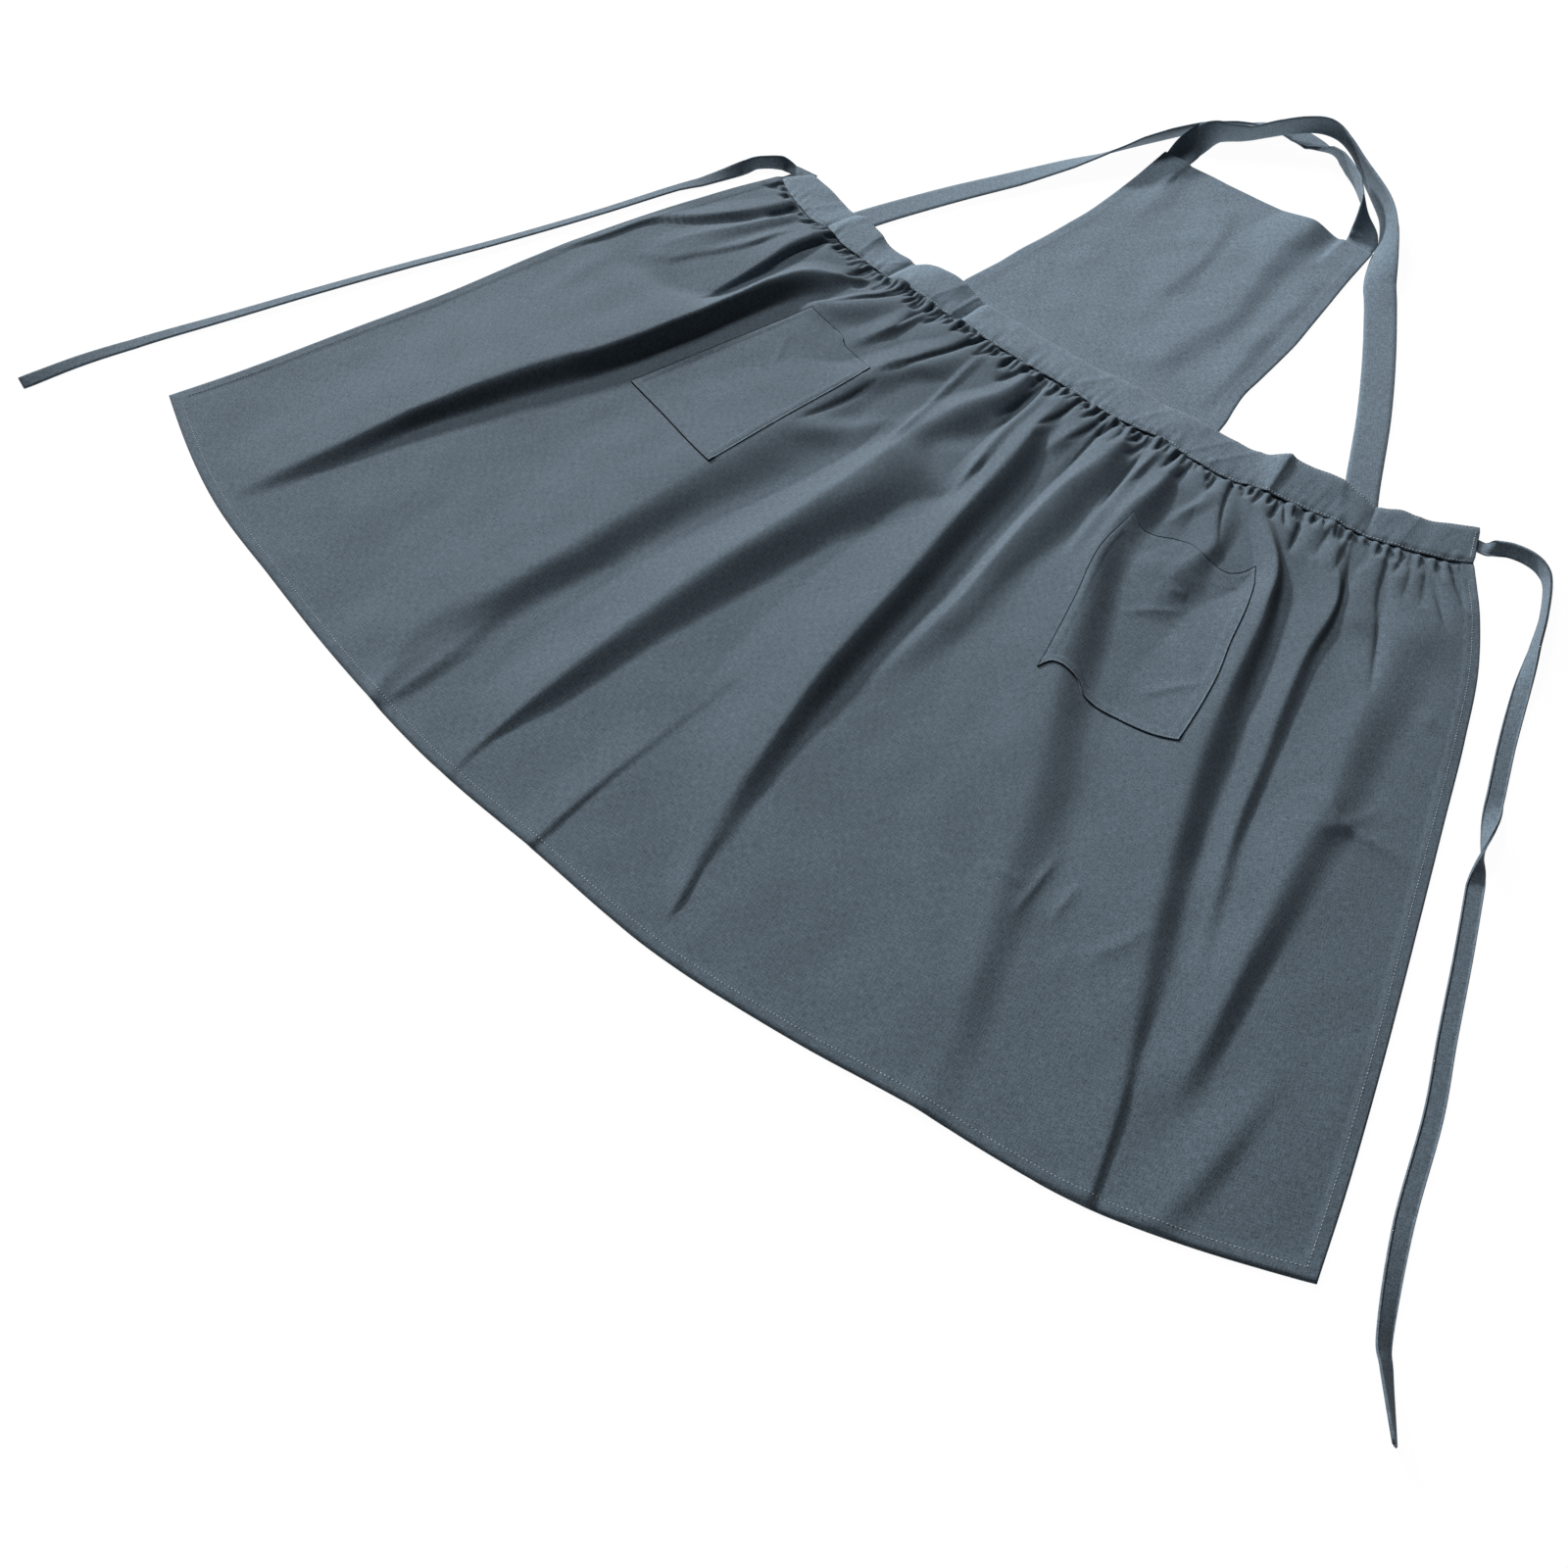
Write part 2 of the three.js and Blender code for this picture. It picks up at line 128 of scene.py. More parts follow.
def closed_sheet(name, grid, thickness, uv, material):
    """A closed thin piece of cloth around a grid of points, with rounded edges."""
    rows, columns, _ = grid.shape
    half = np.broadcast_to(np.asarray(thickness, float) / 2, (rows, columns))[..., None]
    normal = grid_normals(grid)
    top, under = grid + normal * half, grid - normal * half
    ring = (
        [(0, c) for c in range(columns)]
        + [(r, columns - 1) for r in range(1, rows)]
        + [(rows - 1, c) for c in range(columns - 2, -1, -1)]
        + [(r, 0) for r in range(rows - 2, 0, -1)]
    )
    ring_r = np.array([r for r, _ in ring])
    ring_c = np.array([c for _, c in ring])
    inner = grid[np.clip(ring_r, 1, rows - 2), np.clip(ring_c, 1, columns - 2)]
    out = grid[ring_r, ring_c] - inner
    out /= np.linalg.norm(out, axis=1, keepdims=True)
    rim = grid[ring_r, ring_c] + out * half[ring_r, ring_c] * RIM
    points = np.concatenate([top.reshape(-1, 3), under.reshape(-1, 3), rim])
    flat_uv = uv.reshape(-1, 2)
    uvs = np.concatenate([flat_uv, flat_uv, uv[ring_r, ring_c]])
    index = np.arange(rows * columns).reshape(rows, columns)
    upper, lower = quads(index, True), quads(index, False) + rows * columns
    if normal[..., 2].mean() < 0:
        upper, lower = upper[:, ::-1], lower[:, ::-1]
    count = len(ring)
    here = np.arange(count)
    after = (here + 1) % count
    edge = index[ring_r, ring_c]
    rim_at = 2 * rows * columns + here
    side_top = np.stack([edge, edge[after], rim_at[after], rim_at], -1)
    side_low = np.stack([rim_at, rim_at[after], edge[after] + rows * columns, edge + rows * columns], -1)
    faces = np.concatenate([upper, lower, side_top, side_low]).tolist()
    return new_object(name, points, faces, uvs, material), top


def fine_sheet(name, top, thickness, uv, material, row_step, column_step):
    """A closed piece of cloth whose underside has fewer, larger faces than its top."""
    rows, columns, _ = top.shape
    low = top[..., 2]
    for axis, reach in ((0, row_step), (1, column_step)):
        pad = [(0, 0), (0, 0)]
        pad[axis] = (reach, reach)
        padded = np.pad(low, pad, mode="edge")
        size = low.shape[axis]
        near = [np.take(padded, np.arange(k, k + size), axis) for k in range(2 * reach + 1)]
        low = np.min(near, axis=0)
    under = top.copy()
    under[..., 2] = np.maximum(low - thickness, CLEAR)
    under = under[::row_step, ::column_step]
    low_rows, low_columns, _ = under.shape
    index = np.arange(rows * columns).reshape(rows, columns)
    low_index = rows * columns + np.arange(low_rows * low_columns).reshape(low_rows, low_columns)
    faces = quads(index, True).tolist() + quads(low_index, False).tolist()
    sides = (
        (index[0], low_index[0], column_step), (index[:, -1], low_index[:, -1], row_step),
        (index[-1, ::-1], low_index[-1, ::-1], column_step),
        (index[::-1, 0], low_index[::-1, 0], row_step),
    )
    for edge, low_edge, step in sides:
        for k in range(len(low_edge) - 1):
            a, b = int(low_edge[k]), int(low_edge[k + 1])
            half = k * step + step // 2
            for i in range(k * step, (k + 1) * step):
                faces.append([int(edge[i]), int(edge[i + 1]), a if i < half else b])
            faces.append([int(edge[half]), b, a])
    points = np.concatenate([top.reshape(-1, 3), under.reshape(-1, 3)])
    uvs = np.concatenate([uv.reshape(-1, 2), uv[::row_step, ::column_step].reshape(-1, 2)])
    return new_object(name, points, faces, uvs, material)


# How deep a stitch's foot sits, and the length of its top against its foot
STITCH_SUNK, STITCH_TOP = 0.15, 0.6


def stitches(name, lines, pitch, length, width, height):
    """Short raised threads along lines of points that lie on cloth facing up."""
    points, faces, uvs = [], [], []
    for line in lines:
        line = np.asarray(line, float)
        run = np.concatenate([[0], np.cumsum(np.linalg.norm(np.diff(line, axis=0), axis=1))])
        for at in np.arange(pitch, run[-1] - pitch, pitch):
            here, ahead, behind = (
                np.array([np.interp(at + step, run, line[:, k]) for k in range(3)])
                for step in (0, length / 2, -length / 2)
            )
            along = (ahead - behind) / 2
            side = np.cross((0, 0, 1), along)
            side *= width / 2 / np.linalg.norm(side)
            up = np.cross(along, side)
            up /= np.linalg.norm(up)
            first = len(points)
            for a, b in ((-1, -1), (1, -1), (1, 1), (-1, 1)):
                points.append(here + along * a + side * b - up * STITCH_SUNK)
            points.append(here - along * STITCH_TOP + up * height)
            points.append(here + along * STITCH_TOP + up * height)
            uvs += [(at * 0.001, 0.0)] * 6
            for face in ((0, 1, 5, 4), (2, 3, 4, 5), (1, 2, 5), (3, 0, 4), (3, 2, 1, 0)):
                faces.append([first + k for k in face])
    return new_object(name, np.array(points), faces, np.array(uvs), thread)


# Skirt. On it u runs from -1 at the left side to 1 at the right, and v from 0 at the waist to 1 at the hem
SKIRT_SIDE = 640
WAIST = dict(half=385.0, middle=0.0, y=0.0, dip=60.0, bow=3.0)
HEM = dict(half=592.0, middle=5.0, y=-604.0, dip=109.0, bow=2.4)
SWELL_V = [0, 0.08, 0.16, 0.28, 0.42, 0.56, 0.75, 0.9, 1]
SWELL_LEFT = [0, 9, 14, 17, 14, 6, 2, -1, 0]
SWELL_RIGHT = [0, 14, 22, 23, 20, 17, 12, 6, 0]


def edge_point(edge, u):
    """Point on the bowed line of the waist or the hem."""
    return edge["middle"] + edge["half"] * u, edge["y"] - edge["dip"] * (1 - np.abs(u) ** edge["bow"])


def half_width(v):
    return WAIST["half"] + (HEM["half"] - WAIST["half"]) * v


def skirt_plan(u, v):
    """Place of a point of the skirt, seen from above."""
    wx, wy = edge_point(WAIST, u)
    hx, hy = edge_point(HEM, u)
    swell = np.where(u < 0, -curve(SWELL_V, SWELL_LEFT, v), curve(SWELL_V, SWELL_RIGHT, v))
    return wx + (hx - wx) * v + swell * np.abs(u) ** 3, wy + (hy - wy) * v


CAMERA = np.array([509.3, -1000.6, 953.9])


def stood_up(u, v, height):
    """The tables give places as the camera sees them at floor level; this is their place at a height."""
    x, y = skirt_plan(u, v)
    lift = height / CAMERA[2]
    down = -(CAMERA[1] - y) * lift / SKIRT_SIDE
    across = ((CAMERA[0] - x) * lift - (HEM["half"] - WAIST["half"]) * u * down) / half_width(v)
    return u + across, v + down


# Folds from waist to hem. Columns: v, u of the crest, rise, reach of the lit and of the shaded slope
FOLDS = {
    "left_outer": [
        (0, -0.915, 1, 12, 10), (0.06, -0.925, 4.5, 16, 16), (0.12, -0.945, 6, 18, 14),
        (0.17, -0.968, 5, 14, 10), (0.2, -0.984, 3.5, 8, 8), (0.3, -0.99, 2.5, 6, 7), (0.42, -1, 0, 6, 7),
    ],
    "left_second": [
        (0, -0.86, 1, 8, 10), (0.06, -0.877, 5, 6, 18), (0.12, -0.892, 6, 10, 22),
        (0.2, -0.905, 3, 14, 30), (0.28, -0.9, 0, 14, 30),
    ],
    "left_third": [
        (0.04, -0.812, 0, 14, 8), (0.08, -0.817, 2.6, 18, 8), (0.12, -0.823, 3.4, 20, 9),
        (0.16, -0.838, 2.6, 18, 10), (0.2, -0.855, 1.8, 14, 10), (0.24, -0.87, 1, 12, 10),
        (0.28, -0.91, 0, 12, 10),
    ],
    "beside_great": [
        (-0.01, -0.785, 2, 20, 14), (0.02, -0.782, 5.5, 24, 18), (0.06, -0.78, 8, 28, 24),
        (0.09, -0.768, 7.5, 34, 18), (0.12, -0.757, 6.5, 44, 13), (0.16, -0.745, 5, 60, 10),
        (0.2, -0.736, 3.2, 80, 9), (0.23, -0.728, 1.2, 90, 8), (0.26, -0.72, 0, 100, 8),
    ],
    "great": [
        (0.01, -0.58, 0, 16, 8), (0.03, -0.605, 4.5, 24, 12), (0.045, -0.63, 7.5, 28, 20),
        (0.06, -0.662, 10.5, 22, 32), (0.08, -0.683, 13.5, 14, 32), (0.12, -0.697, 16.5, 12, 29),
        (0.2, -0.7, 17.5, 14, 25), (0.24, -0.703, 18, 36, 25), (0.3, -0.71, 18.5, 130, 25),
        (0.4, -0.726, 18.5, 130, 28), (0.5, -0.76, 18, 125, 33), (0.6, -0.776, 15.5, 110, 29),
        (0.7, -0.784, 12.5, 100, 24), (0.8, -0.781, 9, 80, 24), (0.9, -0.78, 5, 60, 22),
        (0.98, -0.775, 0, 40, 14),
    ],
    "hollow_tube": [
        (-0.01, -0.49, 1, 8, 20), (0.03, -0.522, 6, 8, 36), (0.06, -0.546, 9, 8, 46),
        (0.09, -0.562, 8, 8, 46), (0.12, -0.575, 4, 8, 44), (0.15, -0.58, 0, 8, 40),
    ],
    "mouth_left": [
        (-0.01, -0.4, 1, 14, 8), (0.03, -0.402, 4.5, 16, 10), (0.06, -0.405, 5.5, 18, 12),
        (0.09, -0.412, 4, 18, 14), (0.12, -0.42, 2.5, 20, 14), (0.15, -0.43, 0, 20, 14),
    ],
    "left_pocket": [
        (-0.01, -0.24, 1, 14, 16), (0.03, -0.258, 5, 20, 28), (0.06, -0.28, 8.5, 26, 40),
        (0.09, -0.297, 9.5, 26, 40), (0.12, -0.318, 9, 24, 34), (0.16, -0.331, 8.5, 26, 36),
        (0.2, -0.338, 7.5, 50, 38), (0.3, -0.349, 9.5, 84, 62), (0.4, -0.361, 11.5, 96, 58),
        (0.5, -0.365, 11.5, 106, 48), (0.6, -0.37, 11, 110, 46), (0.7, -0.374, 10, 110, 42),
        (0.8, -0.38, 8.5, 100, 40), (0.88, -0.395, 5, 80, 46), (0.95, -0.36, 3, 50, 22),
        (1, -0.33, 2.5, 40, 12),
    ],
    "left_hollow": [
        (0.2, -0.185, 0, 14, 14), (0.225, -0.21, 2.5, 16, 22), (0.25, -0.235, 4.5, 18, 32),
        (0.28, -0.262, 4.5, 20, 40), (0.31, -0.29, 2.5, 20, 40), (0.34, -0.3, 0, 20, 40),
    ],
    "left_foot": [
        (0.78, -0.34, 0, 20, 20), (0.88, -0.325, 3, 24, 18), (0.95, -0.32, 2.5, 24, 14),
        (1, -0.32, 1, 24, 10),
    ],
    "left_middle": [
        (0, -0.198, 1, 4, 10), (0.06, -0.186, 2, 5, 10), (0.12, -0.176, 1.8, 4, 9),
        (0.2, -0.16, 1.5, 4, 8), (0.25, -0.155, 0, 4, 8),
    ],
    "centre_left": [
        (0, -0.075, 2, 10, 8), (0.03, -0.075, 4.5, 12, 16), (0.06, -0.083, 7, 16, 28),
        (0.09, -0.104, 9.5, 20, 38), (0.12, -0.122, 11, 20, 48), (0.16, -0.131, 8.5, 22, 40),
        (0.2, -0.138, 5, 24, 26), (0.25, -0.143, 14.5, 22, 78), (0.3, -0.147, 15, 24, 78),
        (0.4, -0.16, 13.5, 30, 54), (0.5, -0.174, 13, 38, 46), (0.6, -0.185, 12, 42, 42),
        (0.7, -0.187, 10, 46, 34), (0.8, -0.185, 8, 46, 26), (0.9, -0.178, 4, 36, 12),
        (0.95, -0.174, 2, 36, 8), (1, -0.163, 0.5, 36, 8),
    ],
    "centre_tuck": [
        (-0.01, -0.013, 1, 4, 8), (0.06, -0.01, 4, 5, 12), (0.12, -0.003, 4.5, 6, 12),
        (0.16, 0.004, 5, 8, 13), (0.2, 0.015, 6, 12, 11), (0.24, 0.022, 2, 12, 8),
        (0.27, 0.022, 0, 12, 8),
    ],
    "pressed": [
        (0.62, 0.015, 0, 30, 8), (0.8, -0.005, 1.2, 30, 8), (0.9, -0.012, 2.2, 30, 8),
        (1, -0.012, 2.2, 30, 8),
    ],
    "centre_right": [
        (-0.01, 0.045, 1, 12, 8), (0.03, 0.036, 2, 16, 14), (0.06, 0.038, 5.5, 18, 20),
        (0.09, 0.042, 9.5, 20, 22), (0.12, 0.048, 11.5, 22, 27), (0.2, 0.057, 13.5, 24, 31),
        (0.25, 0.062, 14.2, 20, 31), (0.3, 0.066, 15, 40, 30), (0.4, 0.079, 15, 55, 30),
        (0.5, 0.087, 15, 65, 29), (0.6, 0.098, 13.5, 70, 27), (0.7, 0.117, 10.5, 70, 23),
        (0.8, 0.139, 6.5, 60, 22), (0.86, 0.158, 4, 44, 16), (0.88, 0.165, 3.6, 36, 9),
        (0.9, 0.175, 3.4, 26, 5), (0.93, 0.186, 3, 22, 3.5), (0.965, 0.194, 0, 20, 3.5),
    ],
    "second_top": [
        (-0.01, 0.128, 1, 10, 8), (0.03, 0.12, 1.5, 12, 12), (0.06, 0.113, 3.2, 12, 14),
        (0.09, 0.105, 3.4, 12, 16), (0.13, 0.1, 0, 12, 16),
    ],
    "centre_second": [
        (-0.01, 0.215, 1, 14, 10), (0.03, 0.212, 5, 20, 16), (0.06, 0.208, 8, 22, 26),
        (0.09, 0.2, 9.5, 18, 34), (0.12, 0.19, 10.5, 12, 40), (0.2, 0.18, 11, 8, 44),
        (0.3, 0.183, 8.5, 8, 38), (0.4, 0.189, 5.5, 10, 34), (0.5, 0.181, 3, 12, 26),
        (0.58, 0.175, 0, 16, 26),
    ],
    "right_pocket_edge": [
        (-0.01, 0.303, 1, 8, 8), (0.03, 0.293, 3.5, 8, 10), (0.06, 0.288, 4, 7, 10),
        (0.09, 0.285, 3.5, 6, 12), (0.14, 0.284, 2.5, 6, 14), (0.2, 0.287, 2.5, 6, 12),
        (0.26, 0.294, 0, 6, 12),
    ],
    "right_pocket": [
        (-0.01, 0.348, 1, 14, 8), (0.03, 0.345, 4.5, 16, 14), (0.06, 0.344, 7.5, 16, 20),
        (0.09, 0.335, 9, 18, 26), (0.12, 0.325, 10, 18, 32), (0.16, 0.322, 9, 20, 34),
        (0.2, 0.325, 9, 22, 34), (0.3, 0.362, 11, 56, 38), (0.4, 0.395, 11, 76, 42),
        (0.5, 0.44, 9, 90, 40), (0.6, 0.478, 8, 90, 42), (0.7, 0.503, 5.5, 90, 38),
        (0.8, 0.532, 5, 90, 28), (0.9, 0.552, 3.5, 90, 30), (1, 0.562, 2.5, 90, 30),
    ],
    "mouth_small": [
        (0.02, 0.448, 0, 8, 14), (0.06, 0.444, 3, 6, 14), (0.09, 0.425, 2.5, 6, 14),
        (0.13, 0.412, 0, 6, 14),
    ],
    "right_mouth": [
        (-0.01, 0.476, 1, 14, 8), (0.03, 0.482, 4.5, 18, 18), (0.06, 0.49, 6.5, 20, 24),
        (0.09, 0.503, 6.5, 22, 20), (0.12, 0.511, 5.5, 24, 16), (0.15, 0.496, 5.5, 26, 20),
        (0.19, 0.474, 7.5, 30, 34), (0.23, 0.474, 4, 30, 30), (0.28, 0.475, 0, 30, 26),
    ],
    "right_long": [
        (0.02, 0.56, 0, 8, 8), (0.04, 0.578, 2.5, 12, 12), (0.06, 0.598, 4.5, 15, 12),
        (0.09, 0.627, 7, 17, 10), (0.12, 0.641, 9, 16, 11), (0.16, 0.645, 11, 22, 14),
        (0.2, 0.649, 12, 40, 18), (0.3, 0.65, 13, 58, 23), (0.4, 0.654, 12, 66, 30),
        (0.5, 0.669, 10.5, 66, 28), (0.6, 0.687, 8.5, 66, 26), (0.7, 0.708, 7, 66, 24),
        (0.8, 0.734, 5, 62, 14), (0.9, 0.757, 4, 54, 8), (1, 0.767, 3.5, 46, 8),
    ],
    "right_twin": [
        (0, 0.74, 1, 14, 10), (0.06, 0.735, 4, 20, 16), (0.09, 0.752, 4.5, 26, 8),
        (0.12, 0.759, 5.5, 30, 6), (0.16, 0.755, 6, 30, 7), (0.2, 0.745, 6.2, 30, 9),
        (0.3, 0.739, 6, 24, 13), (0.4, 0.745, 4.6, 22, 12), (0.5, 0.748, 4.4, 18, 11),
        (0.6, 0.759, 3.2, 16, 11), (0.72, 0.775, 0, 16, 11),
    ],
    "right_outer": [
        (0.13, 0.86, 0, 40, 30), (0.2, 0.862, 4, 30, 34), (0.3, 0.85, 6, 40, 34), (0.4, 0.85, 7, 40, 30),
        (0.5, 0.836, 7, 35, 28), (0.6, 0.826, 7.5, 35, 24), (0.7, 0.818, 7, 32, 19),
        (0.8, 0.81, 5, 30, 18), (0.88, 0.803, 0, 30, 20),
    ],
    "right_hem": [
        (0.78, 0.9, 0, 30, 16), (0.86, 0.878, 3, 30, 16), (0.93, 0.858, 3.5, 30, 18),
        (1, 0.83, 2.5, 30, 24),
    ],
}

# Sharp creases as seen. Columns: height, reach, then the points u, v that they pass through
CREASES = [
    (1.8, 4.5, [
        (0.8, 0.44), (0.815, 0.43), (0.84, 0.425), (0.855, 0.43), (0.87, 0.447), (0.89, 0.455),
        (1, 0.475),
    ]),
    (1.2, 4.5, [(0.84, 0.475), (0.88, 0.455), (0.9, 0.435), (0.92, 0.41)]),
    (1.2, 5, [(0.47, 0.7), (0.545, 0.695)]),
    (1.8, 4, [(0.545, 0.735), (0.555, 0.66), (0.565, 0.635)]),
    (1.4, 4, [(0.59, 0.72), (0.6, 0.66)]),
    (1.3, 5, [(0.6, 0.775), (0.66, 0.735), (0.685, 0.71), (0.7, 0.685), (0.72, 0.68)]),
    (1.2, 4, [(0.43, 0.285), (0.47, 0.265), (0.53, 0.24)]),
    (1.4, 4, [(0.53, 0.28), (0.57, 0.3), (0.6, 0.325)]),
    (1.4, 4, [(0.62, 0.34), (0.58, 0.36), (0.54, 0.385)]),
    (1.2, 5, [(0.48, 0.222), (0.52, 0.218)]),
    (1.2, 3.5, [(-0.805, 0.115), (-0.83, 0.16), (-0.865, 0.235), (-0.935, 0.285)]),
    (0.9, 3, [(-0.53, 0.2), (-0.5, 0.22), (-0.48, 0.245)]),
    (0.8, 4, [(0.92, 0.255), (0.96, 0.268)]),
]
# Soft swellings and hollows as seen. Columns: u, v, reach across, reach down, height
SWELLINGS = [
    (0.9, 0.135, 26, 18, 3), (0.8, 0.145, 14, 9, 2.2), (-0.22, 0.2, 40, 18, 2),
    (-0.05, 0.195, 30, 16, 2.5), (0.43, 0.19, 16, 26, 2.5), (-0.55, 0.85, 60, 40, 1.5),
    (-0.62, 0.91, 40, 26, -1.2), (-0.95, 0.745, 12, 30, 1.2), (-0.92, 0.37, 10, 40, 1),
    (-0.42, 0.93, 40, 20, 1), (0.3, 0.6, 60, 50, 1.5), (0.95, 0.26, 10, 6, 1.2),
    (0.35, 0.85, 60, 60, 1.2), (-0.05, 0.75, 70, 40, 1), (0.62, 0.87, 40, 50, 1.2),
]

# Slits between the gathers. Columns: u, v under the band; u, v where it ends; bend; drop; reach of the drop
SLITS = [
    (-0.945, 0.004, -0.985, 0.042, -0.012, 2, 4), (-0.932, 0.008, -0.925, 0.024, 0, 2, 3),
    (-0.905, 0.004, -0.911, 0.016, 0, 1.6, 3), (-0.893, 0.004, -0.898, 0.018, 0, 1.6, 3),
    (-0.875, 0.004, -0.886, 0.066, 0, 4.5, 4), (-0.846, 0.008, -0.872, 0.028, 0, 2.2, 4),
    (-0.816, 0.002, -0.826, 0.026, 0, 2, 3), (-0.795, -0.004, -0.806, 0.022, 0, 3, 4),
    (-0.745, -0.002, -0.75, 0.016, 0, 2, 4), (-0.73, -0.002, -0.725, 0.014, 0, 1.6, 4),
    (-0.705, -0.004, -0.7, 0.024, 0, 3, 3), (-0.675, -0.004, -0.692, 0.026, 0, 3.5, 4),
    (-0.655, -0.004, -0.66, 0.008, 0, 1.5, 3), (-0.638, -0.004, -0.645, 0.008, 0, 1.5, 3),
    (-0.62, -0.004, -0.614, 0.014, 0, 2, 3), (-0.592, -0.004, -0.6, 0.052, 0, 5, 6),
    (-0.555, 0.004, -0.56, 0.055, 0, 6, 10), (-0.537, -0.008, -0.534, 0.036, 0.003, 4, 4),
    (-0.472, -0.014, -0.557, 0.12, 0.012, 6.5, 6), (-0.458, -0.014, -0.457, 0.003, 0, 2.5, 3),
    (-0.43, -0.012, -0.42, 0.026, 0, 3.5, 5), (-0.387, -0.012, -0.38, 0.082, -0.008, 4, 9),
    (-0.357, -0.012, -0.36, 0.034, 0, 3.5, 4), (-0.337, -0.01, -0.34, -0.002, 0, 1.5, 3),
    (-0.288, -0.014, -0.306, 0.002, 0, 2.5, 3), (-0.276, -0.008, -0.288, 0.012, 0, 2, 5),
    (-0.253, -0.012, -0.266, -0.002, 0, 2, 3), (-0.228, -0.012, -0.32, 0.178, 0.012, 6.5, 6),
    (-0.187, -0.008, -0.203, 0.037, 0.006, 3, 4), (-0.168, -0.008, -0.18, 0.022, 0, 2.5, 4),
    (-0.147, -0.008, -0.149, 0.003, 0, 1.5, 3), (-0.132, -0.008, -0.13, 0.034, 0, 3.5, 4),
    (-0.098, -0.008, -0.1, -0.002, 0, 1.2, 3), (-0.083, -0.008, -0.11, 0.058, 0.003, 4.5, 6),
    (-0.04, -0.008, -0.035, 0.034, 0, 3, 4), (-0.024, -0.008, -0.035, 0.115, 0.009, 4.5, 7),
    (0.007, -0.008, 0.001, 0.034, 0.006, 3, 4), (0.046, -0.002, 0.024, 0.012, 0, 2.5, 4),
    (0.057, -0.006, 0.056, 0.002, 0, 1.5, 3), (0.075, -0.006, 0.05, 0.1, 0.006, 2, 3),
    (0.1, 0.004, 0.076, 0.016, 0, 2.5, 4), (0.09, -0.004, 0.088, 0.004, 0, 1.5, 3),
    (0.129, -0.004, 0.11, 0.038, 0, 3, 4), (0.148, -0.004, 0.125, 0.085, 0.008, 1.8, 3),
    (0.187, 0, 0.167, 0.046, -0.002, 3, 4), (0.205, -0.004, 0.196, 0.056, 0.006, 2.5, 7),
    (0.23, -0.006, 0.22, 0.012, 0, 2.2, 4), (0.245, -0.006, 0.228, 0.034, 0.003, 3.2, 4),
    (0.262, -0.006, 0.244, 0.058, 0.009, 3.5, 5), (0.306, -0.008, 0.285, 0.024, 0, 3.5, 4),
    (0.325, -0.008, 0.322, 0, 0, 1.2, 3), (0.343, -0.006, 0.331, 0.05, 0.002, 4, 4),
    (0.36, -0.006, 0.36, 0.006, 0, 1.2, 3), (0.382, -0.004, 0.37, 0.056, 0.004, 3.5, 8),
    (0.41, 0, 0.412, 0.01, 0, 1.2, 3), (0.43, 0.002, 0.43, 0.028, 0, 2.2, 3),
    (0.446, -0.002, 0.443, 0.048, 0, 2.8, 4), (0.465, 0, 0.465, 0.01, 0, 1.2, 3),
    (0.484, -0.002, 0.526, 0.125, -0.01, 3.5, 7), (0.512, -0.002, 0.516, 0.024, 0, 2, 4),
    (0.528, -0.004, 0.532, 0.012, 0, 1.2, 3), (0.546, -0.004, 0.54, 0.018, 0, 2.2, 4),
    (0.573, -0.006, 0.569, 0.014, 0, 2, 4), (0.588, -0.004, 0.585, 0.044, 0.005, 2.8, 4),
    (0.604, -0.002, 0.624, 0.044, 0, 2.5, 3), (0.637, -0.002, 0.638, 0.016, 0, 1.5, 3),
    (0.65, -0.002, 0.648, 0.085, 0.002, 4, 5), (0.686, -0.002, 0.665, 0.016, 0, 2.5, 4),
    (0.705, 0, 0.69, 0.008, 0, 1.5, 3), (0.712, 0.016, 0.695, 0.076, 0, 1.8, 9),
    (0.735, 0.002, 0.735, 0.036, 0, 2, 4), (0.753, 0.024, 0.738, 0.095, 0, 2, 9),
    (0.77, 0.008, 0.774, 0.036, 0, 2.8, 4), (0.798, 0.008, 0.775, 0.064, 0.004, 2.8, 4),
    (0.82, 0.008, 0.809, 0.034, 0, 1.8, 3), (0.845, 0.008, 0.847, 0.03, 0, 2, 3),
    (0.871, 0.008, 0.846, 0.054, 0, 2.8, 4), (0.886, 0.01, 0.868, 0.095, 0, 1.5, 8),
    (0.91, 0.006, 0.9, 0.095, 0.003, 2, 6), (0.932, 0.006, 0.937, 0.04, 0, 1.5, 3),
    (0.923, 0.045, 0.946, 0.12, 0, 1.5, 4), (0.958, 0.006, 0.979, 0.08, -0.002, 2.5, 4),
]
# Lines in the upper skirt that go on as thin creases, same columns
SLITS += [
    (0.77, 0.01, 0.768, 0.135, 0, 2.5, 4), (0.836, 0.02, 0.833, 0.13, -0.002, 2.6, 4),
    (0.833, 0.1, 0.855, 0.26, 0, 1.8, 4), (0.983, 0, 0.985, 0.06, 0, 1.5, 4),
    (-0.735, 0.02, -0.722, 0.14, -0.004, 3, 4), (-0.718, 0.14, -0.712, 0.26, 0, 1.5, 3),
    (-0.02, 0.04, -0.008, 0.14, 0, 2, 4), (0.166, 0.03, 0.168, 0.16, 0.002, 1.8, 4),
    (-0.29, 0.2, -0.317, 0.31, 0.002, 1.5, 3), (0.278, 0.05, 0.282, 0.16, 0, 1.8, 4),
]
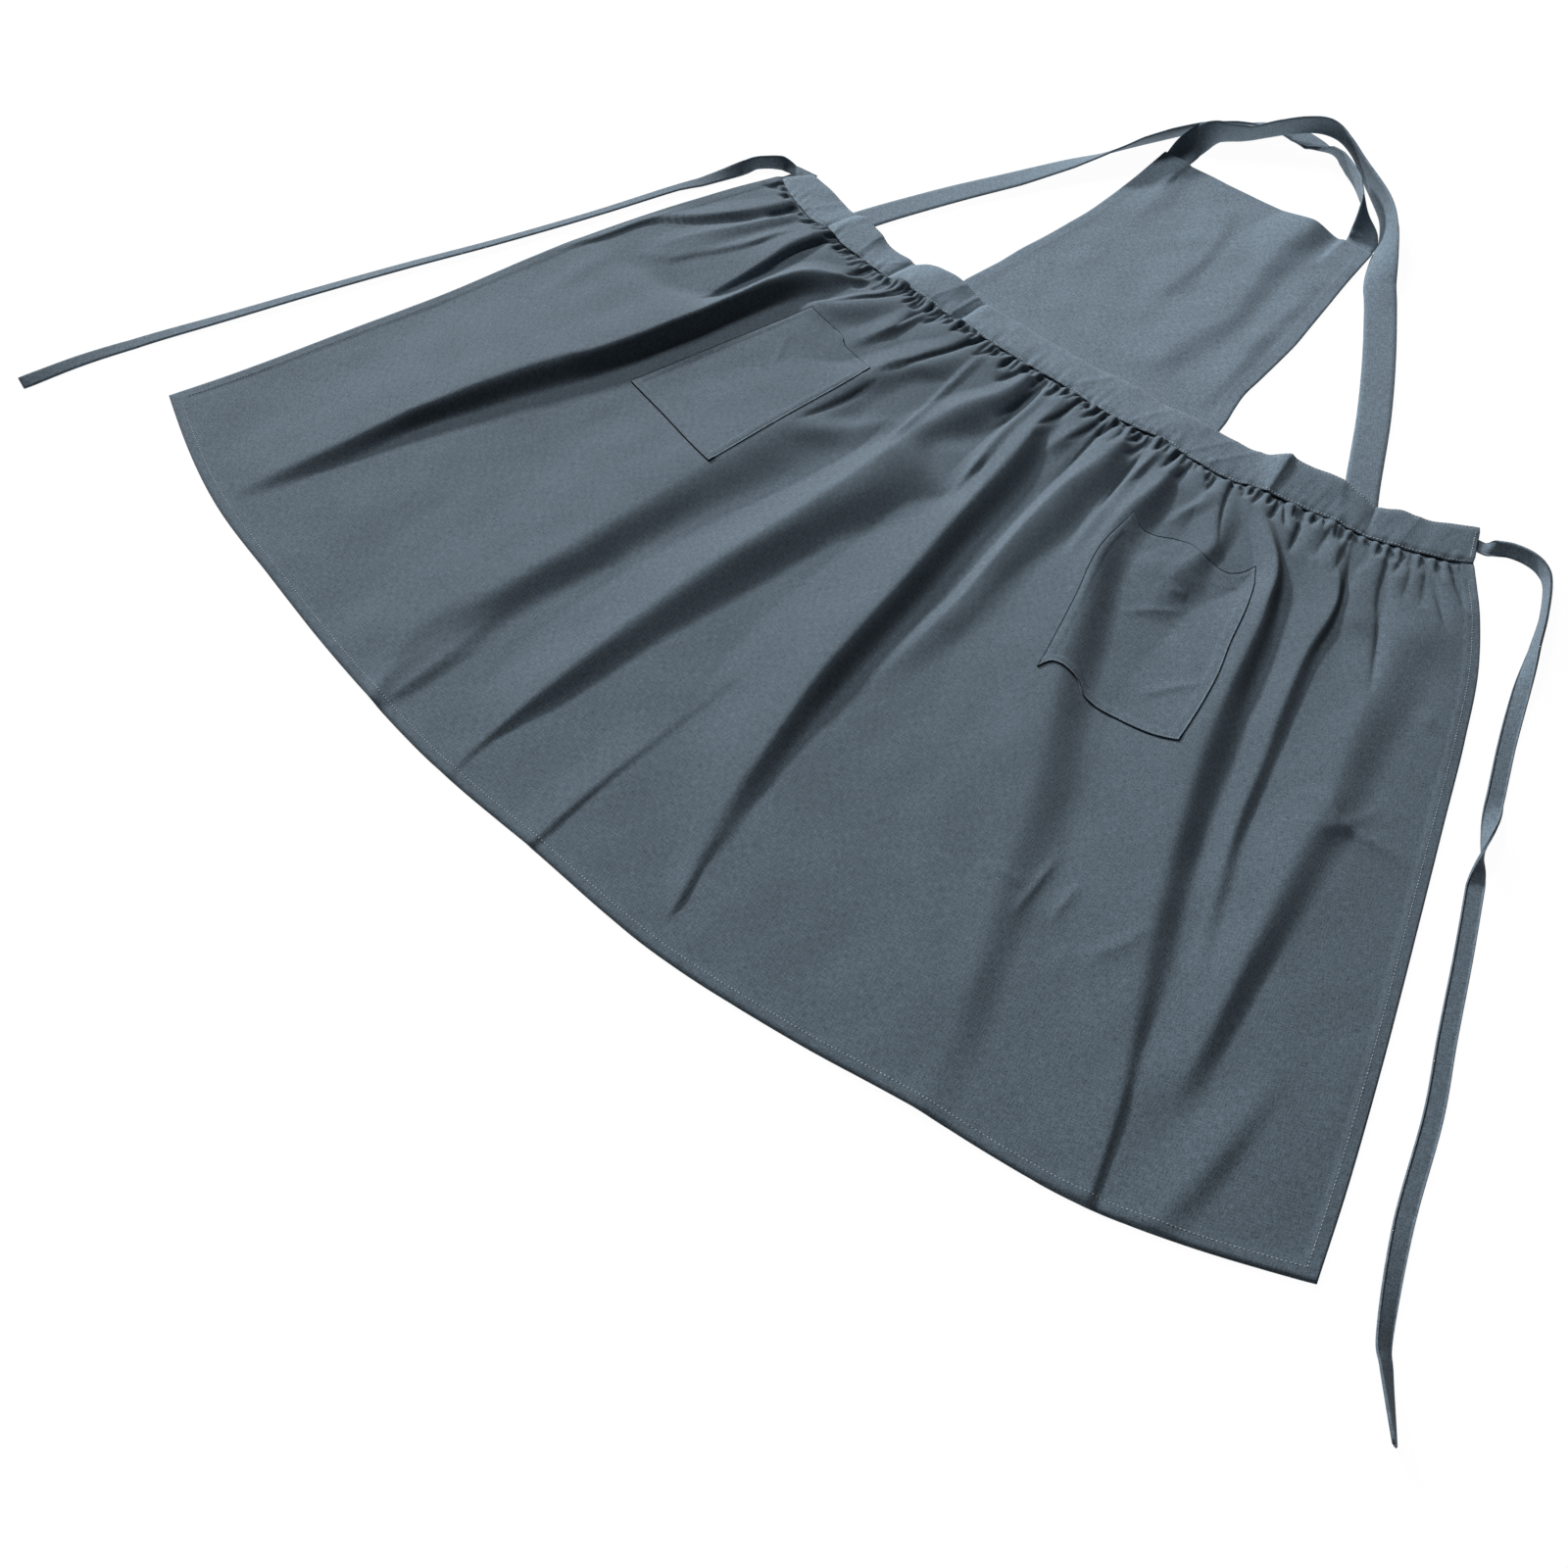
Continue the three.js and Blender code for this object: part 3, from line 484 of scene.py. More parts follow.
# Short gathers in between, one about every 9 mm along the band
GATHERS = 84
gather_rng = np.random.default_rng(7)
for gather_u in np.linspace(-0.98, 0.98, GATHERS) + gather_rng.uniform(-0.004, 0.004, GATHERS):
    gather_v = 0.004 - 0.012 * (1 - gather_u**2)
    end_u = gather_u + gather_rng.uniform(-0.014, 0.004)
    end_v = gather_v + gather_rng.uniform(0.017, 0.034)
    drop, reach = gather_rng.uniform(1.4, 2.6), gather_rng.uniform(2.4, 3.4)
    SLITS.append((gather_u, gather_v, end_u, end_v, 0, drop, reach))
# Height that the bulk of the gathers adds along the waist
PUFF_U = [-1, -0.92, -0.8, -0.6, -0.4, -0.2, 0, 0.2, 0.36, 0.5, 0.65, 0.8, 0.92, 1]
PUFF = [2, 4.5, 6, 7, 9.5, 8, 7.5, 7.5, 7.5, 6.5, 6.5, 6, 5.5, 3]

# Waistband as seen. Columns: u; v of its lower and upper edge; height of its lower and upper edge
BAND = [
    (-1, 0, -0.05, 3.2, 3.2), (-0.97, 0.003, -0.053, 3.4, 3.2), (-0.9, 0.005, -0.058, 3.6, 3.2),
    (-0.8, 0, -0.058, 3.8, 3.2), (-0.785, -0.004, -0.06, 4.2, 4.6), (-0.77, -0.005, -0.07, 5, 7.5),
    (-0.74, -0.004, -0.0705, 5, 7.5), (-0.72, -0.002, -0.068, 4.8, 7), (-0.68, -0.003, -0.064, 4.6, 5.8),
    (-0.66, -0.004, -0.06, 4.4, 4.6), (-0.64, -0.005, -0.0565, 4, 3.4), (-0.6, -0.005, -0.0555, 4, 3),
    (-0.56, -0.0055, -0.0595, 4, 3.4), (-0.54, -0.006, -0.058, 3.8, 3), (-0.53, -0.008, -0.06, 4.6, 3.8),
    (-0.52, -0.011, -0.07, 6, 6), (-0.5, -0.015, -0.079, 8, 8.4), (-0.47, -0.016, -0.083, 8.5, 10),
    (-0.44, -0.0155, -0.085, 8, 10), (-0.4, -0.0145, -0.082, 7, 8.8), (-0.37, -0.013, -0.077, 6, 6.6),
    (-0.34, -0.011, -0.071, 5, 4.2), (-0.31, -0.0095, -0.068, 4, 3.2), (-0.29, -0.0135, -0.069, 5.5, 3.2),
    (-0.25, -0.0125, -0.0695, 5.5, 3.2), (-0.2, -0.01, -0.07, 5, 3.2), (-0.1, -0.0085, -0.068, 4.6, 3.2),
    (0, -0.0085, -0.067, 4.6, 3.2), (0.05, -0.0065, -0.068, 4.6, 3.2), (0.1, -0.004, -0.072, 4.6, 3.6),
    (0.15, -0.003, -0.0745, 4.6, 4), (0.2, -0.004, -0.072, 4.6, 3.6), (0.25, -0.007, -0.069, 5, 3.2),
    (0.3, -0.011, -0.073, 5.5, 4), (0.35, -0.006, -0.072, 5, 4), (0.4, -0.002, -0.07, 4.6, 3.2),
    (0.45, 0, -0.0685, 4.2, 3.2), (0.48, -0.0005, -0.0675, 4.2, 3.2), (0.5, -0.003, -0.069, 4.6, 4),
    (0.52, -0.006, -0.072, 5, 5.5), (0.54, -0.0075, -0.08, 5.5, 8), (0.555, -0.008, -0.0855, 6, 10),
    (0.565, -0.0075, -0.0875, 6, 9.6), (0.58, -0.007, -0.0855, 5.4, 8.2), (0.62, -0.006, -0.083, 5, 7.8),
    (0.67, -0.005, -0.085, 5, 8.4), (0.7, -0.004, -0.082, 4.6, 7.5), (0.72, -0.003, -0.0765, 4.6, 6),
    (0.75, 0, -0.067, 4.6, 5), (0.78, 0.003, -0.055, 4.2, 3.4), (0.8, 0.004, -0.055, 4.2, 3.2),
    (0.84, 0.004, -0.0625, 4.2, 4), (0.87, 0.004, -0.059, 4, 3.4), (0.9, 0.004, -0.058, 4, 3.2),
    (0.95, 0.004, -0.0625, 3.8, 3.2), (1, 0, -0.067, 3.2, 3.2),
]
BAND_U, BAND_LOW, BAND_HIGH, BAND_LOW_Z, BAND_HIGH_Z = np.array(BAND, float).T
# Waver of the hem line
HEM_U = [-1, -0.77, -0.6, -0.4, -0.2, 0, 0.2, 0.4, 0.55, 0.77, 1]
HEM_V = [1.004, 1.005, 0.995, 0.995, 1, 0.998, 1.003, 0.995, 0.99, 1.004, 0.995]


def ridge(across, lit, lee, crest):
    """Profile of a fold: it rises along the lit slope and falls away on the shaded one."""
    up = np.clip(1 + across / lit, 0, None) ** 1.25
    down = 1 - smooth(0, 1, across / lee)
    return np.clip(soft_low(up, down, crest), 0, None)


def fold_height(rows, u, v):
    """One fold of the table, put where the camera sees it."""
    v_seen, u_seen, rise, lit, lee = np.array(rows, float).T
    crest, v_rows = stood_up(u_seen, v_seen, rise * 0.9 + puff(u_seen, v_seen))
    lean = 0.6 * rise * (CAMERA[0] - skirt_plan(u_seen, v_seen)[0]) / CAMERA[2]
    lit, lee = lit + lean, np.maximum(lee - lean, 0.4 * lee)
    across = (u - curve(v_rows, crest, v)) * half_width(v)
    height = np.clip(curve(v_rows, rise, v), 0, None) * (v >= v_rows[0]) * (v <= v_rows[-1])
    return height * ridge(across, curve(v_rows, lit, v), curve(v_rows, lee, v), 0.1)


def puff(u, v):
    """The bulk of the gathers lifts the cloth below the waist."""
    return curve(PUFF_U, PUFF, u) * np.exp(-((np.clip(v, 0, None) / 0.1) ** 1.3))


SLIT_DEEPEST = 8.0


def slit_depth(slit, u, v):
    """A gather's slit: a sharp valley, steep on its shaded side and rounder on its lit side."""
    u_ends, v_ends = np.array([slit[0], slit[2]]), np.array([slit[1], slit[3]])
    bend, drop, reach = slit[4:]
    (u_top, u_end), (v_top, v_end) = stood_up(u_ends, v_ends, puff(u_ends, v_ends) * 0.6)
    t = (v - v_top) / (v_end - v_top)
    path = u_top + (u_end - u_top) * t + bend * 4 * t * (1 - t)
    across = (u - path) * half_width(v)
    fade = (1 - np.clip(t, 0, 1) ** 3) * smooth(-0.3, 0.1, t) * (t < 1)
    wide = np.where(across < 0, reach * 0.55, reach * 1.3)
    deepest = SLIT_DEEPEST * (1 - math.exp(-drop / 2.6))
    return deepest * fade * np.exp(-np.abs(across) / wide)


def crease_height(height, reach, points, x, y):
    """A crease along a line of points, strongest midway and gone at its ends."""
    u, v = np.array(points, float).T
    px, py = skirt_plan(*stood_up(u, v, 4.0))
    near = np.full(x.shape, 1e9)
    along = np.zeros(x.shape)
    length = np.concatenate([[0], np.cumsum(np.hypot(np.diff(px), np.diff(py)))])
    for k in range(len(px) - 1):
        dx, dy = px[k + 1] - px[k], py[k + 1] - py[k]
        t = np.clip(((x - px[k]) * dx + (y - py[k]) * dy) / (dx * dx + dy * dy), 0, 1)
        gap = np.hypot(x - px[k] - t * dx, y - py[k] - t * dy)
        along = np.where(gap < near, (length[k] + t * np.hypot(dx, dy)) / length[-1], along)
        near = np.minimum(near, gap)
    return height * np.sin(math.pi * np.clip(along, 0.0, 1.0)) ** 0.6 * np.exp(-((near / reach) ** 1.4))


def swelling_height(swelling, x, y):
    u, v, across, down, height = swelling
    px, py = skirt_plan(*stood_up(np.array([u]), np.array([v]), 4.0))
    return height * np.exp(-(((x - px) / across) ** 2) - ((y - py) / down) ** 2)


def skirt_height(u, v):
    """Height of the broad forms, and the depth of the slits that go down from it."""
    x, y = skirt_plan(u, v)
    seam = curve(BAND_U, BAND_LOW, u)
    free = smooth(seam, seam + 0.0125, v)
    folds = sum(fold_height(rows, u, v) for rows in FOLDS.values())
    folds = folds + sum(crease_height(*crease, x, y) for crease in CREASES)
    folds = folds + sum(swelling_height(swelling, x, y) for swelling in SWELLINGS)
    uneven = 0.5 * waves(x, y, 130, 14, 3) + 0.26 * waves(x, y, 45, 18, 4)
    uneven = uneven + 0.05 * waves(x, y, 17, 22, 5)
    edge = np.minimum(smooth(1.0, 0.97, np.abs(u)), smooth(1.0, 0.97, v))
    collar = (2.4 + smooth(-0.1, 0.3, u)) * np.exp(-(((v - seam) / 0.018) ** 2))
    collar = collar * smooth(1.0, 0.95, np.abs(u))
    loose = folds + puff(u, v) + collar + (0.6 + uneven) * (0.4 + 0.6 * edge)
    broad = free * loose + (1 - free) * 0.4
    fine = sum(slit_depth(slit, u, v) for slit in SLITS)
    return broad, fine


def skirt_surface(u, v, with_gathers=True):
    """Middle of the skirt's cloth."""
    x, y = skirt_plan(u, v)
    broad, fine = skirt_height(u, v)
    z = broad - (fine if with_gathers else 0)
    z = CLOTH / 2 + 0.5 * (z + np.sqrt(z * z + 0.4))
    return np.stack([x, y, z], -1)


def seen_on_skirt(u_seen, v_seen, extra):
    """Place on the sheet seen at the given u and v, for a piece that stands off it by extra."""
    u, v = u_seen, v_seen
    for _ in range(3):
        u, v = stood_up(u_seen, v_seen, skirt_surface(u, v, False)[..., 2] + extra)
    return u, v


# Materials
def set_inputs(node, values):
    for name, value in values.items():
        node.inputs[name].default_value = value


def cloth_material(name, colour, light=1.0, painted_shade_right=1.0):
    """Matt woven cloth. The light factor paints it paler, standing for more light falling on it, and the
    right-end factor paints shade that darkens it towards the right.
    """
    material = bpy.data.materials.new(name)
    material.use_nodes = True
    tree = material.node_tree
    add, link = tree.nodes.new, tree.links.new
    shader = tree.nodes["Principled BSDF"]
    set_inputs(shader, {
        "Roughness": 0.92, "Specular IOR Level": 0.15, "Sheen Weight": 0.05, "Sheen Roughness": 0.6,
    })
    place = add("ShaderNodeUVMap")
    place.uv_map = "cloth"

    def noise(scale_x, scale_y, detail):
        mapping = add("ShaderNodeMapping")
        mapping.inputs["Scale"].default_value = (scale_x, scale_y, 1)
        link(place.outputs["UV"], mapping.inputs["Vector"])
        node = add("ShaderNodeTexNoise")
        node.noise_dimensions = "2D"
        set_inputs(node, {"Scale": 1.0, "Detail": detail})
        link(mapping.outputs["Vector"], node.inputs["Vector"])
        return node.outputs["Fac"]

    def math_node(kind, a, b):
        node = add("ShaderNodeMath")
        node.operation = kind
        for socket, value in zip(node.inputs, (a, b)):
            if isinstance(value, (int, float)):
                socket.default_value = value
            else:
                link(value, socket)
        return node.outputs[0]

    warp = noise(900, 160, 2)
    weft = noise(160, 900, 2)
    grain = noise(1000, 1000, 3)
    cloud = noise(24, 24, 4)
    slub = math_node("MULTIPLY", math_node("SUBTRACT", noise(90, 700, 1), 0.70), 7.0)
    slub_clamped = math_node("MINIMUM", math_node("MAXIMUM", slub, 0.0), 1.0)
    threads = math_node("ADD", warp, weft)
    shade = math_node("ADD", math_node("MULTIPLY", math_node("SUBTRACT", threads, 1.0), 0.75), 1.0)
    for part, amount in ((grain, 1.35), (cloud, 0.16)):
        shade = math_node("ADD", shade, math_node("MULTIPLY", math_node("SUBTRACT", part, 0.5), amount))
    shade = math_node("ADD", shade, math_node("MULTIPLY", slub_clamped, 0.3))
    apart = add("ShaderNodeSeparateXYZ")
    link(place.outputs["UV"], apart.inputs[0])
    along = add("ShaderNodeMapRange")
    # Painted shade: the colour darkens towards the right end of the piece, standing for light that falls off
    # there
    set_inputs(along, {"From Min": 0.03, "From Max": 0.36, "To Min": 1.0, "To Max": painted_shade_right})
    link(apart.outputs["X"], along.inputs["Value"])
    shade = math_node("MULTIPLY", shade, along.outputs["Result"])
    tint = add("ShaderNodeMix")
    tint.data_type = "RGBA"
    tint.blend_type = "MULTIPLY"
    tint.inputs["Factor"].default_value = 1.0
    # Painted light: the light factor raises the colour, as if the piece were more brightly lit
    tint.inputs["A"].default_value = tuple(c * light for c in colour) + (1.0,)
    link(shade, tint.inputs["B"])
    link(tint.outputs["Result"], shader.inputs["Base Color"])
    bump = add("ShaderNodeBump")
    set_inputs(bump, {"Strength": 0.35, "Distance": 0.0004})
    link(threads, bump.inputs["Height"])
    link(bump.outputs["Normal"], shader.inputs["Normal"])
    return material


SLATE = (0.098, 0.131, 0.162)
skirt_cloth = cloth_material("slate cloth", SLATE)
# Painted light: the band, bib, straps and ties are paler copies of the slate cloth, standing for the
# stronger light near the top; the band is also painted darker towards its right end as painted shade
band_cloth = cloth_material("slate cloth of the band with painted light and shade", SLATE, 1.62, 0.72)
bib_cloth = cloth_material("slate cloth of the bib with painted light", SLATE, 1.6)
strap_cloth = cloth_material("slate cloth of the straps with painted light", SLATE, 1.42)
tie_cloth = cloth_material("slate cloth of the ties with painted light", SLATE, 1.15)
thread = cloth_material("thread", (0.34, 0.39, 0.43))
# Stitches of all pieces but the waistband, and the rise of the skirt's hem
PITCH, LENGTH, HEM_RISE = 2.9, 2.0, 0.6


def skirt_line(u, v):
    """Points along a line on top of the skirt's hem."""
    line = skirt_surface(u, v)
    line[:, 2] += CLOTH / 2 + HEM_RISE
    return line


# Skirt piece
SKIRT_COLUMNS, SKIRT_ROWS = 699, 128
ROW_AT = [0, 0.344, 0.578, 0.656, 0.75, 0.859, 0.922, 0.961, 1]
ROW_V = [-0.03, 0.12, 0.42, 0.475, 0.66, 0.74, 0.9, 0.965, 1]
uu, vv = np.meshgrid(
    np.linspace(-1, 1, SKIRT_COLUMNS + 1), np.interp(np.linspace(0, 1, SKIRT_ROWS + 1), ROW_AT, ROW_V)
)
hem_line = curve(HEM_U, HEM_V, uu)
vv = vv * (1 + (hem_line - 1) * smooth(0.7, 1, vv))
skirt_grid = skirt_surface(uu, vv)
hem_side = smooth(10.5, 8.5, (1 - np.abs(uu)) * half_width(vv))
hem_low = smooth(11.5, 9.5, (hem_line - vv) * SKIRT_SIDE)
skirt_grid[..., 2] += CLOTH / 2 + HEM_RISE * np.maximum(hem_side, hem_low)
skirt_uv = np.stack([uu * 0.6, vv * 0.65], -1)
skirt = fine_sheet("skirt_cloth", skirt_grid, CLOTH, skirt_uv, skirt_cloth, 4, 3)

side_v = np.linspace(0.03, 0.985, 400)
hem_u = np.linspace(-0.99, 0.99, 700)
skirt_stitches = stitches(
    "skirt_stitches",
    [
        skirt_line(np.full(400, -0.986), side_v),
        skirt_line(np.full(400, 0.987), side_v),
        skirt_line(hem_u, curve(HEM_U, HEM_V, hem_u) - 0.0145),
    ],
    PITCH, LENGTH, 0.7, 0.32,
)

# Pockets as seen. Sides: v, u; mouth and foot: u, v
POCKETS = {
    "pocket_left": dict(
        left=[(0.1, -0.571), (0.12, -0.572), (0.27, -0.594), (0.421, -0.617), (0.45, -0.62)],
        right=[
            (0.12, -0.339), (0.148, -0.34), (0.2, -0.344), (0.3, -0.355), (0.434, -0.364), (0.45, -0.365),
        ],
        mouth=[
            (-0.572, 0.12), (-0.5, 0.126), (-0.45, 0.133), (-0.44, 0.138), (-0.4, 0.144), (-0.342, 0.148),
        ],
        foot=[(-0.617, 0.421), (-0.5, 0.425), (-0.4, 0.432), (-0.364, 0.434)],
        gape=1.2,
        right_side_flat=True,
    ),
    "pocket_right": dict(
        left=[(0.1, 0.338), (0.127, 0.337), (0.2, 0.327), (0.3, 0.35), (0.42, 0.372), (0.45, 0.376)],
        right=[
            (0.1, 0.6), (0.12, 0.603), (0.15, 0.615), (0.18, 0.62), (0.26, 0.625), (0.3, 0.63),
            (0.36, 0.63), (0.44, 0.623),
        ],
        mouth=[
            (0.337, 0.127), (0.36, 0.14), (0.38, 0.147), (0.4, 0.147), (0.44, 0.137), (0.48, 0.133),
            (0.5, 0.138), (0.52, 0.145), (0.55, 0.15), (0.58, 0.138), (0.603, 0.12),
        ],
        foot=[
            (0.372, 0.42), (0.385, 0.405), (0.4, 0.4), (0.42, 0.402), (0.44, 0.41), (0.46, 0.425),
            (0.48, 0.431), (0.53, 0.434), (0.6, 0.43), (0.625, 0.424),
        ],
        gape=1.4,
        right_side_flat=False,
    ),
}
# Mouth to foot, across, and how far the stitches lie from the edges and from the mouth
POCKET_DEEP, POCKET_WIDE, POCKET_INSET, POCKET_HEM = 190, 120, 2.2, 19
POCKET_THICK, POCKET_GAP = 0.7, 0.12


def pocket_piece(name, spec):
    """A patch pocket that follows the skirt under it, and its stitches."""
    rows, columns = 96, 92
    t, s = np.meshgrid(np.linspace(0, 1, rows + 1), np.linspace(0, 1, columns + 1), indexing="ij")

    def edge_v(edge):
        along, v_rows = np.array(spec[edge]).T
        return curve((along - along[0]) / (along[-1] - along[0]), v_rows, s)

    mouth, foot = edge_v("mouth"), edge_v("foot")
    v_seen = mouth + (foot - mouth) * t
    first, last = (curve(*np.array(spec[side]).T, v_seen) for side in ("left", "right"))
    u_seen = first + (last - first) * s
    from_mouth, from_foot = t * POCKET_DEEP, (1 - t) * POCKET_DEEP
    gape = spec["gape"] * np.exp(-from_mouth / 40) * np.sin(math.pi * s) ** 0.7
    hem = smooth(21, 18.5, from_mouth)
    side = np.minimum(s, 1 - s) * POCKET_WIDE
    thick = POCKET_THICK + 0.4 * np.maximum(hem, smooth(8, 6, side))
    flat = np.minimum(s, (1 - s) if spec["right_side_flat"] else 1) * POCKET_WIDE
    thick = thick * (1 - 0.65 * np.maximum(smooth(3, 0, flat), smooth(4, 0, from_mouth)))
    thick = np.maximum(thick, POCKET_THICK + 0.75 * smooth(8, 6, from_foot))
    u, v = seen_on_skirt(u_seen, v_seen, 1.4 + gape)
    under = skirt_surface(u, v, False)
    normal = grid_normals(under)
    normal *= np.sign(normal[..., 2:])
    under[..., 2] += CLOTH / 2
    grid = under + normal * (thick / 2 + POCKET_GAP)[..., None]
    grid[..., 2] += gape
    uv = np.stack([u * 0.5, v * 0.65], -1) + 0.37
    piece, top = closed_sheet(name + "_cloth", grid, thick, uv, skirt_cloth)
    hem_row = int(rows * POCKET_HEM / POCKET_DEEP)
    inset = max(1, int(columns * POCKET_INSET / POCKET_WIDE))
    low = rows - max(1, int(rows * POCKET_INSET / POCKET_DEEP))
    lines = [
        top[hem_row, 3:-3], top[2:low, inset],
        top[2:low, columns - inset], top[low, inset : columns - inset],
    ]
    return piece, stitches(name + "_stitches", lines, PITCH, LENGTH, 0.6, 0.28)


pockets = {name: pocket_piece(name, spec) for name, spec in POCKETS.items()}


# Creases of the waistband. Columns: u at its lower and its upper edge, height, reach
BAND_CREASES = [
    (-0.545, -0.538, -2.2, 3), (-0.53, -0.527, 1.2, 5), (-0.312, -0.308, -1.6, 3),
    (-0.34, -0.335, 1, 4), (0.558, 0.566, 2.2, 6), (-0.785, -0.782, -1.4, 3), (0.784, 0.787, -1.4, 3),
    (0.2, 0.27, 0.6, 6), (0.4, 0.5, 0.8, 6), (0.35, 0.44, 0.6, 5), (0.02, 0.1, 0.6, 7),
    (-0.66, -0.67, 1.2, 8), (-0.6, -0.54, 0.5, 6), (0.85, 0.88, 0.9, 6), (-0.87, -0.83, 0.5, 6),
    (0.72, 0.7, 0.8, 8), (-0.42, -0.39, 0.7, 7),
]
# Thickness at its stitched edges
BAND_EDGE = 0.5


def band_piece():
    columns, rows = 560, 26
    t, u = np.meshgrid(np.linspace(0, 1, rows + 1), np.linspace(-1, 1, columns + 1), indexing="ij")
    low_z = curve(BAND_U, BAND_LOW_Z, u) - 0.6 - 0.7 * smooth(-0.05, 0.1, u)
    high_z = curve(BAND_U, BAND_HIGH_Z, u)
    high_seen = np.where(u < -0.9, u + (u + 0.9) * -0.24, u)
    low = skirt_plan(*stood_up(u, curve(BAND_U, BAND_LOW, u), low_z))
    high = skirt_plan(*stood_up(high_seen, curve(BAND_U, BAND_HIGH, u), high_z))
    x, y = low[0] + (high[0] - low[0]) * t, low[1] + (high[1] - low[1]) * t
    z = low_z + (high_z - low_z) * smooth(0, 1, t)
    seam = 0.3 * waves(x, y * 0.15, 9, 14, 21) + 0.25 * waves(x, y * 0.15, 21, 10, 24)
    z += seam * np.exp(-t * 2.6) + 0.35 * waves(x, y, 60, 12, 22) + 0.12 * waves(x, y, 22, 14, 23)
    z += 0.9 * np.sin(math.pi * t) ** 0.7
    for u_low, u_high, height, reach in BAND_CREASES:
        across = (u - u_low - (u_high - u_low) * t) * WAIST["half"]
        z += height * np.where(across < 0, np.exp(across / reach), np.exp(-across / (reach * 0.6)))
    ends = smooth(1.0, 0.985, np.abs(u))
    z = np.maximum(z * ends + 3.0 * (1 - ends), 2.5)
    uv = np.stack([u * 0.4, t * 0.045], -1)
    thick = BAND_EDGE + (DOUBLED - BAND_EDGE) * smooth(0, 0.15, t) * smooth(1, 0.85, t)
    z -= (DOUBLED - thick) * 0.3
    piece, top = closed_sheet("waistband_cloth", np.stack([x, y, z], -1), thick, uv, band_cloth)
    lines = [top[1, 2:-2], top[rows - 1, 2:-2], top[2:-2, columns - 2], top[2:-2, 2]]
    return piece, stitches("waistband_stitches", lines, 3.0, 2.1, 1.1, 0.45)


waistband, waistband_stitches = band_piece()

# Bib as seen. Columns: y, x of the left and right side
BIB_SIDES = [
    (-25, -151, 144), (-10, -151, 143), (0, -150, 142), (20, -146, 138), (40, -142, 135), (70, -138, 135),
    (100, -132, 135), (130, -127, 134.5), (160, -122.5, 132), (200, -120, 128.5), (240, -119, 125),
    (270, -119.5, 123), (290, -120, 122),
]
# Columns: y, x of the crest, rise, reach of the lit and of the shaded slope
BIB_FOLDS = {
    "wave": [
        (-10, 44, 0, 40, 30), (20, 47, 2, 40, 30), (80, 56, 3.2, 44, 30), (120, 66, 3.4, 46, 28),
        (160, 60, 3, 46, 26), (210, 50, 4, 46, 32), (250, 50, 5.5, 40, 34), (290, 54, 8, 34, 34),
    ],
    "middle": [
        (90, 0, 0, 30, 14), (130, 1, 1.3, 34, 14), (180, 1, 1.7, 36, 16), (230, -10, 1.7, 34, 18),
        (270, -24, 0, 30, 16),
    ],
    "left": [
        (150, -84, 0, 30, 24), (200, -86, 1.6, 26, 26), (240, -90, 2, 20, 30), (280, -100, 1, 14, 24),
    ],
    "right": [
        (-20, 112, 0, 20, 14), (40, 110, 1.6, 24, 18), (110, 104, 2, 24, 20), (180, 104, 1.2, 20, 18),
        (240, 100, 0, 20, 18),
    ],
}
BIB_FOOT, BIB_HIGH, BIB_WIDE = -21, 311, 250


def bib_piece():
    rows, columns = 150, 130
    t, s = np.meshgrid(np.linspace(0, 1, rows + 1), np.linspace(0, 1, columns + 1), indexing="ij")
    y = BIB_FOOT + BIB_HIGH * t
    side_y, left, right = np.array(BIB_SIDES, float).T
    first, last = curve(side_y, left, y), curve(side_y, right, y)
    x = first + (last - first) * s
    free = smooth(-14, 20, y)
    z = 0.5 + 0.35 * waves(x, y, 120, 10, 31) + 0.22 * waves(x, y, 42, 16, 32)
    for fold in BIB_FOLDS.values():
        fold_y, crest, rise, lit, lee = np.array(fold, float).T
        height = np.clip(curve(fold_y, rise, y), 0, None) * (y >= fold_y[0]) * (y <= fold_y[-1])
        lit, lee = curve(fold_y, lit, y), curve(fold_y, lee, y)
        z = z + height * ridge(x - curve(fold_y, crest, y), lit, lee, 0.25)
    corner = np.maximum(smooth(-84, -92, x), smooth(86, 92, x)) * smooth(238, 262, y) * 2.1
    edge = np.minimum(np.minimum(s, 1 - s) * BIB_WIDE, (1 - t) * BIB_HIGH)
    thick = CLOTH + 0.5 * smooth(12.5, 11, edge)
    z = 0.9 + free * 0.5 * (z + np.sqrt(z * z + 0.3)) + corner
    x = x - z * (x - CAMERA[0]) / CAMERA[2] * (s - 0.5) ** 2 * 4
    uv = np.stack([x, y], -1) * 0.001
    piece, top = closed_sheet("bib_cloth", np.stack([x, y, z], -1), thick, uv, bib_cloth)
    inset, low = int(columns * 10.5 / BIB_WIDE), rows - int(rows * 11 / BIB_HIGH)
    lines = [top[14:low, inset], top[14:low, columns - inset], top[low, inset : columns - inset]]
    return piece, stitches("bib_stitches", lines, PITCH, LENGTH, 0.55, 0.22)


bib, bib_stitches = bib_piece()

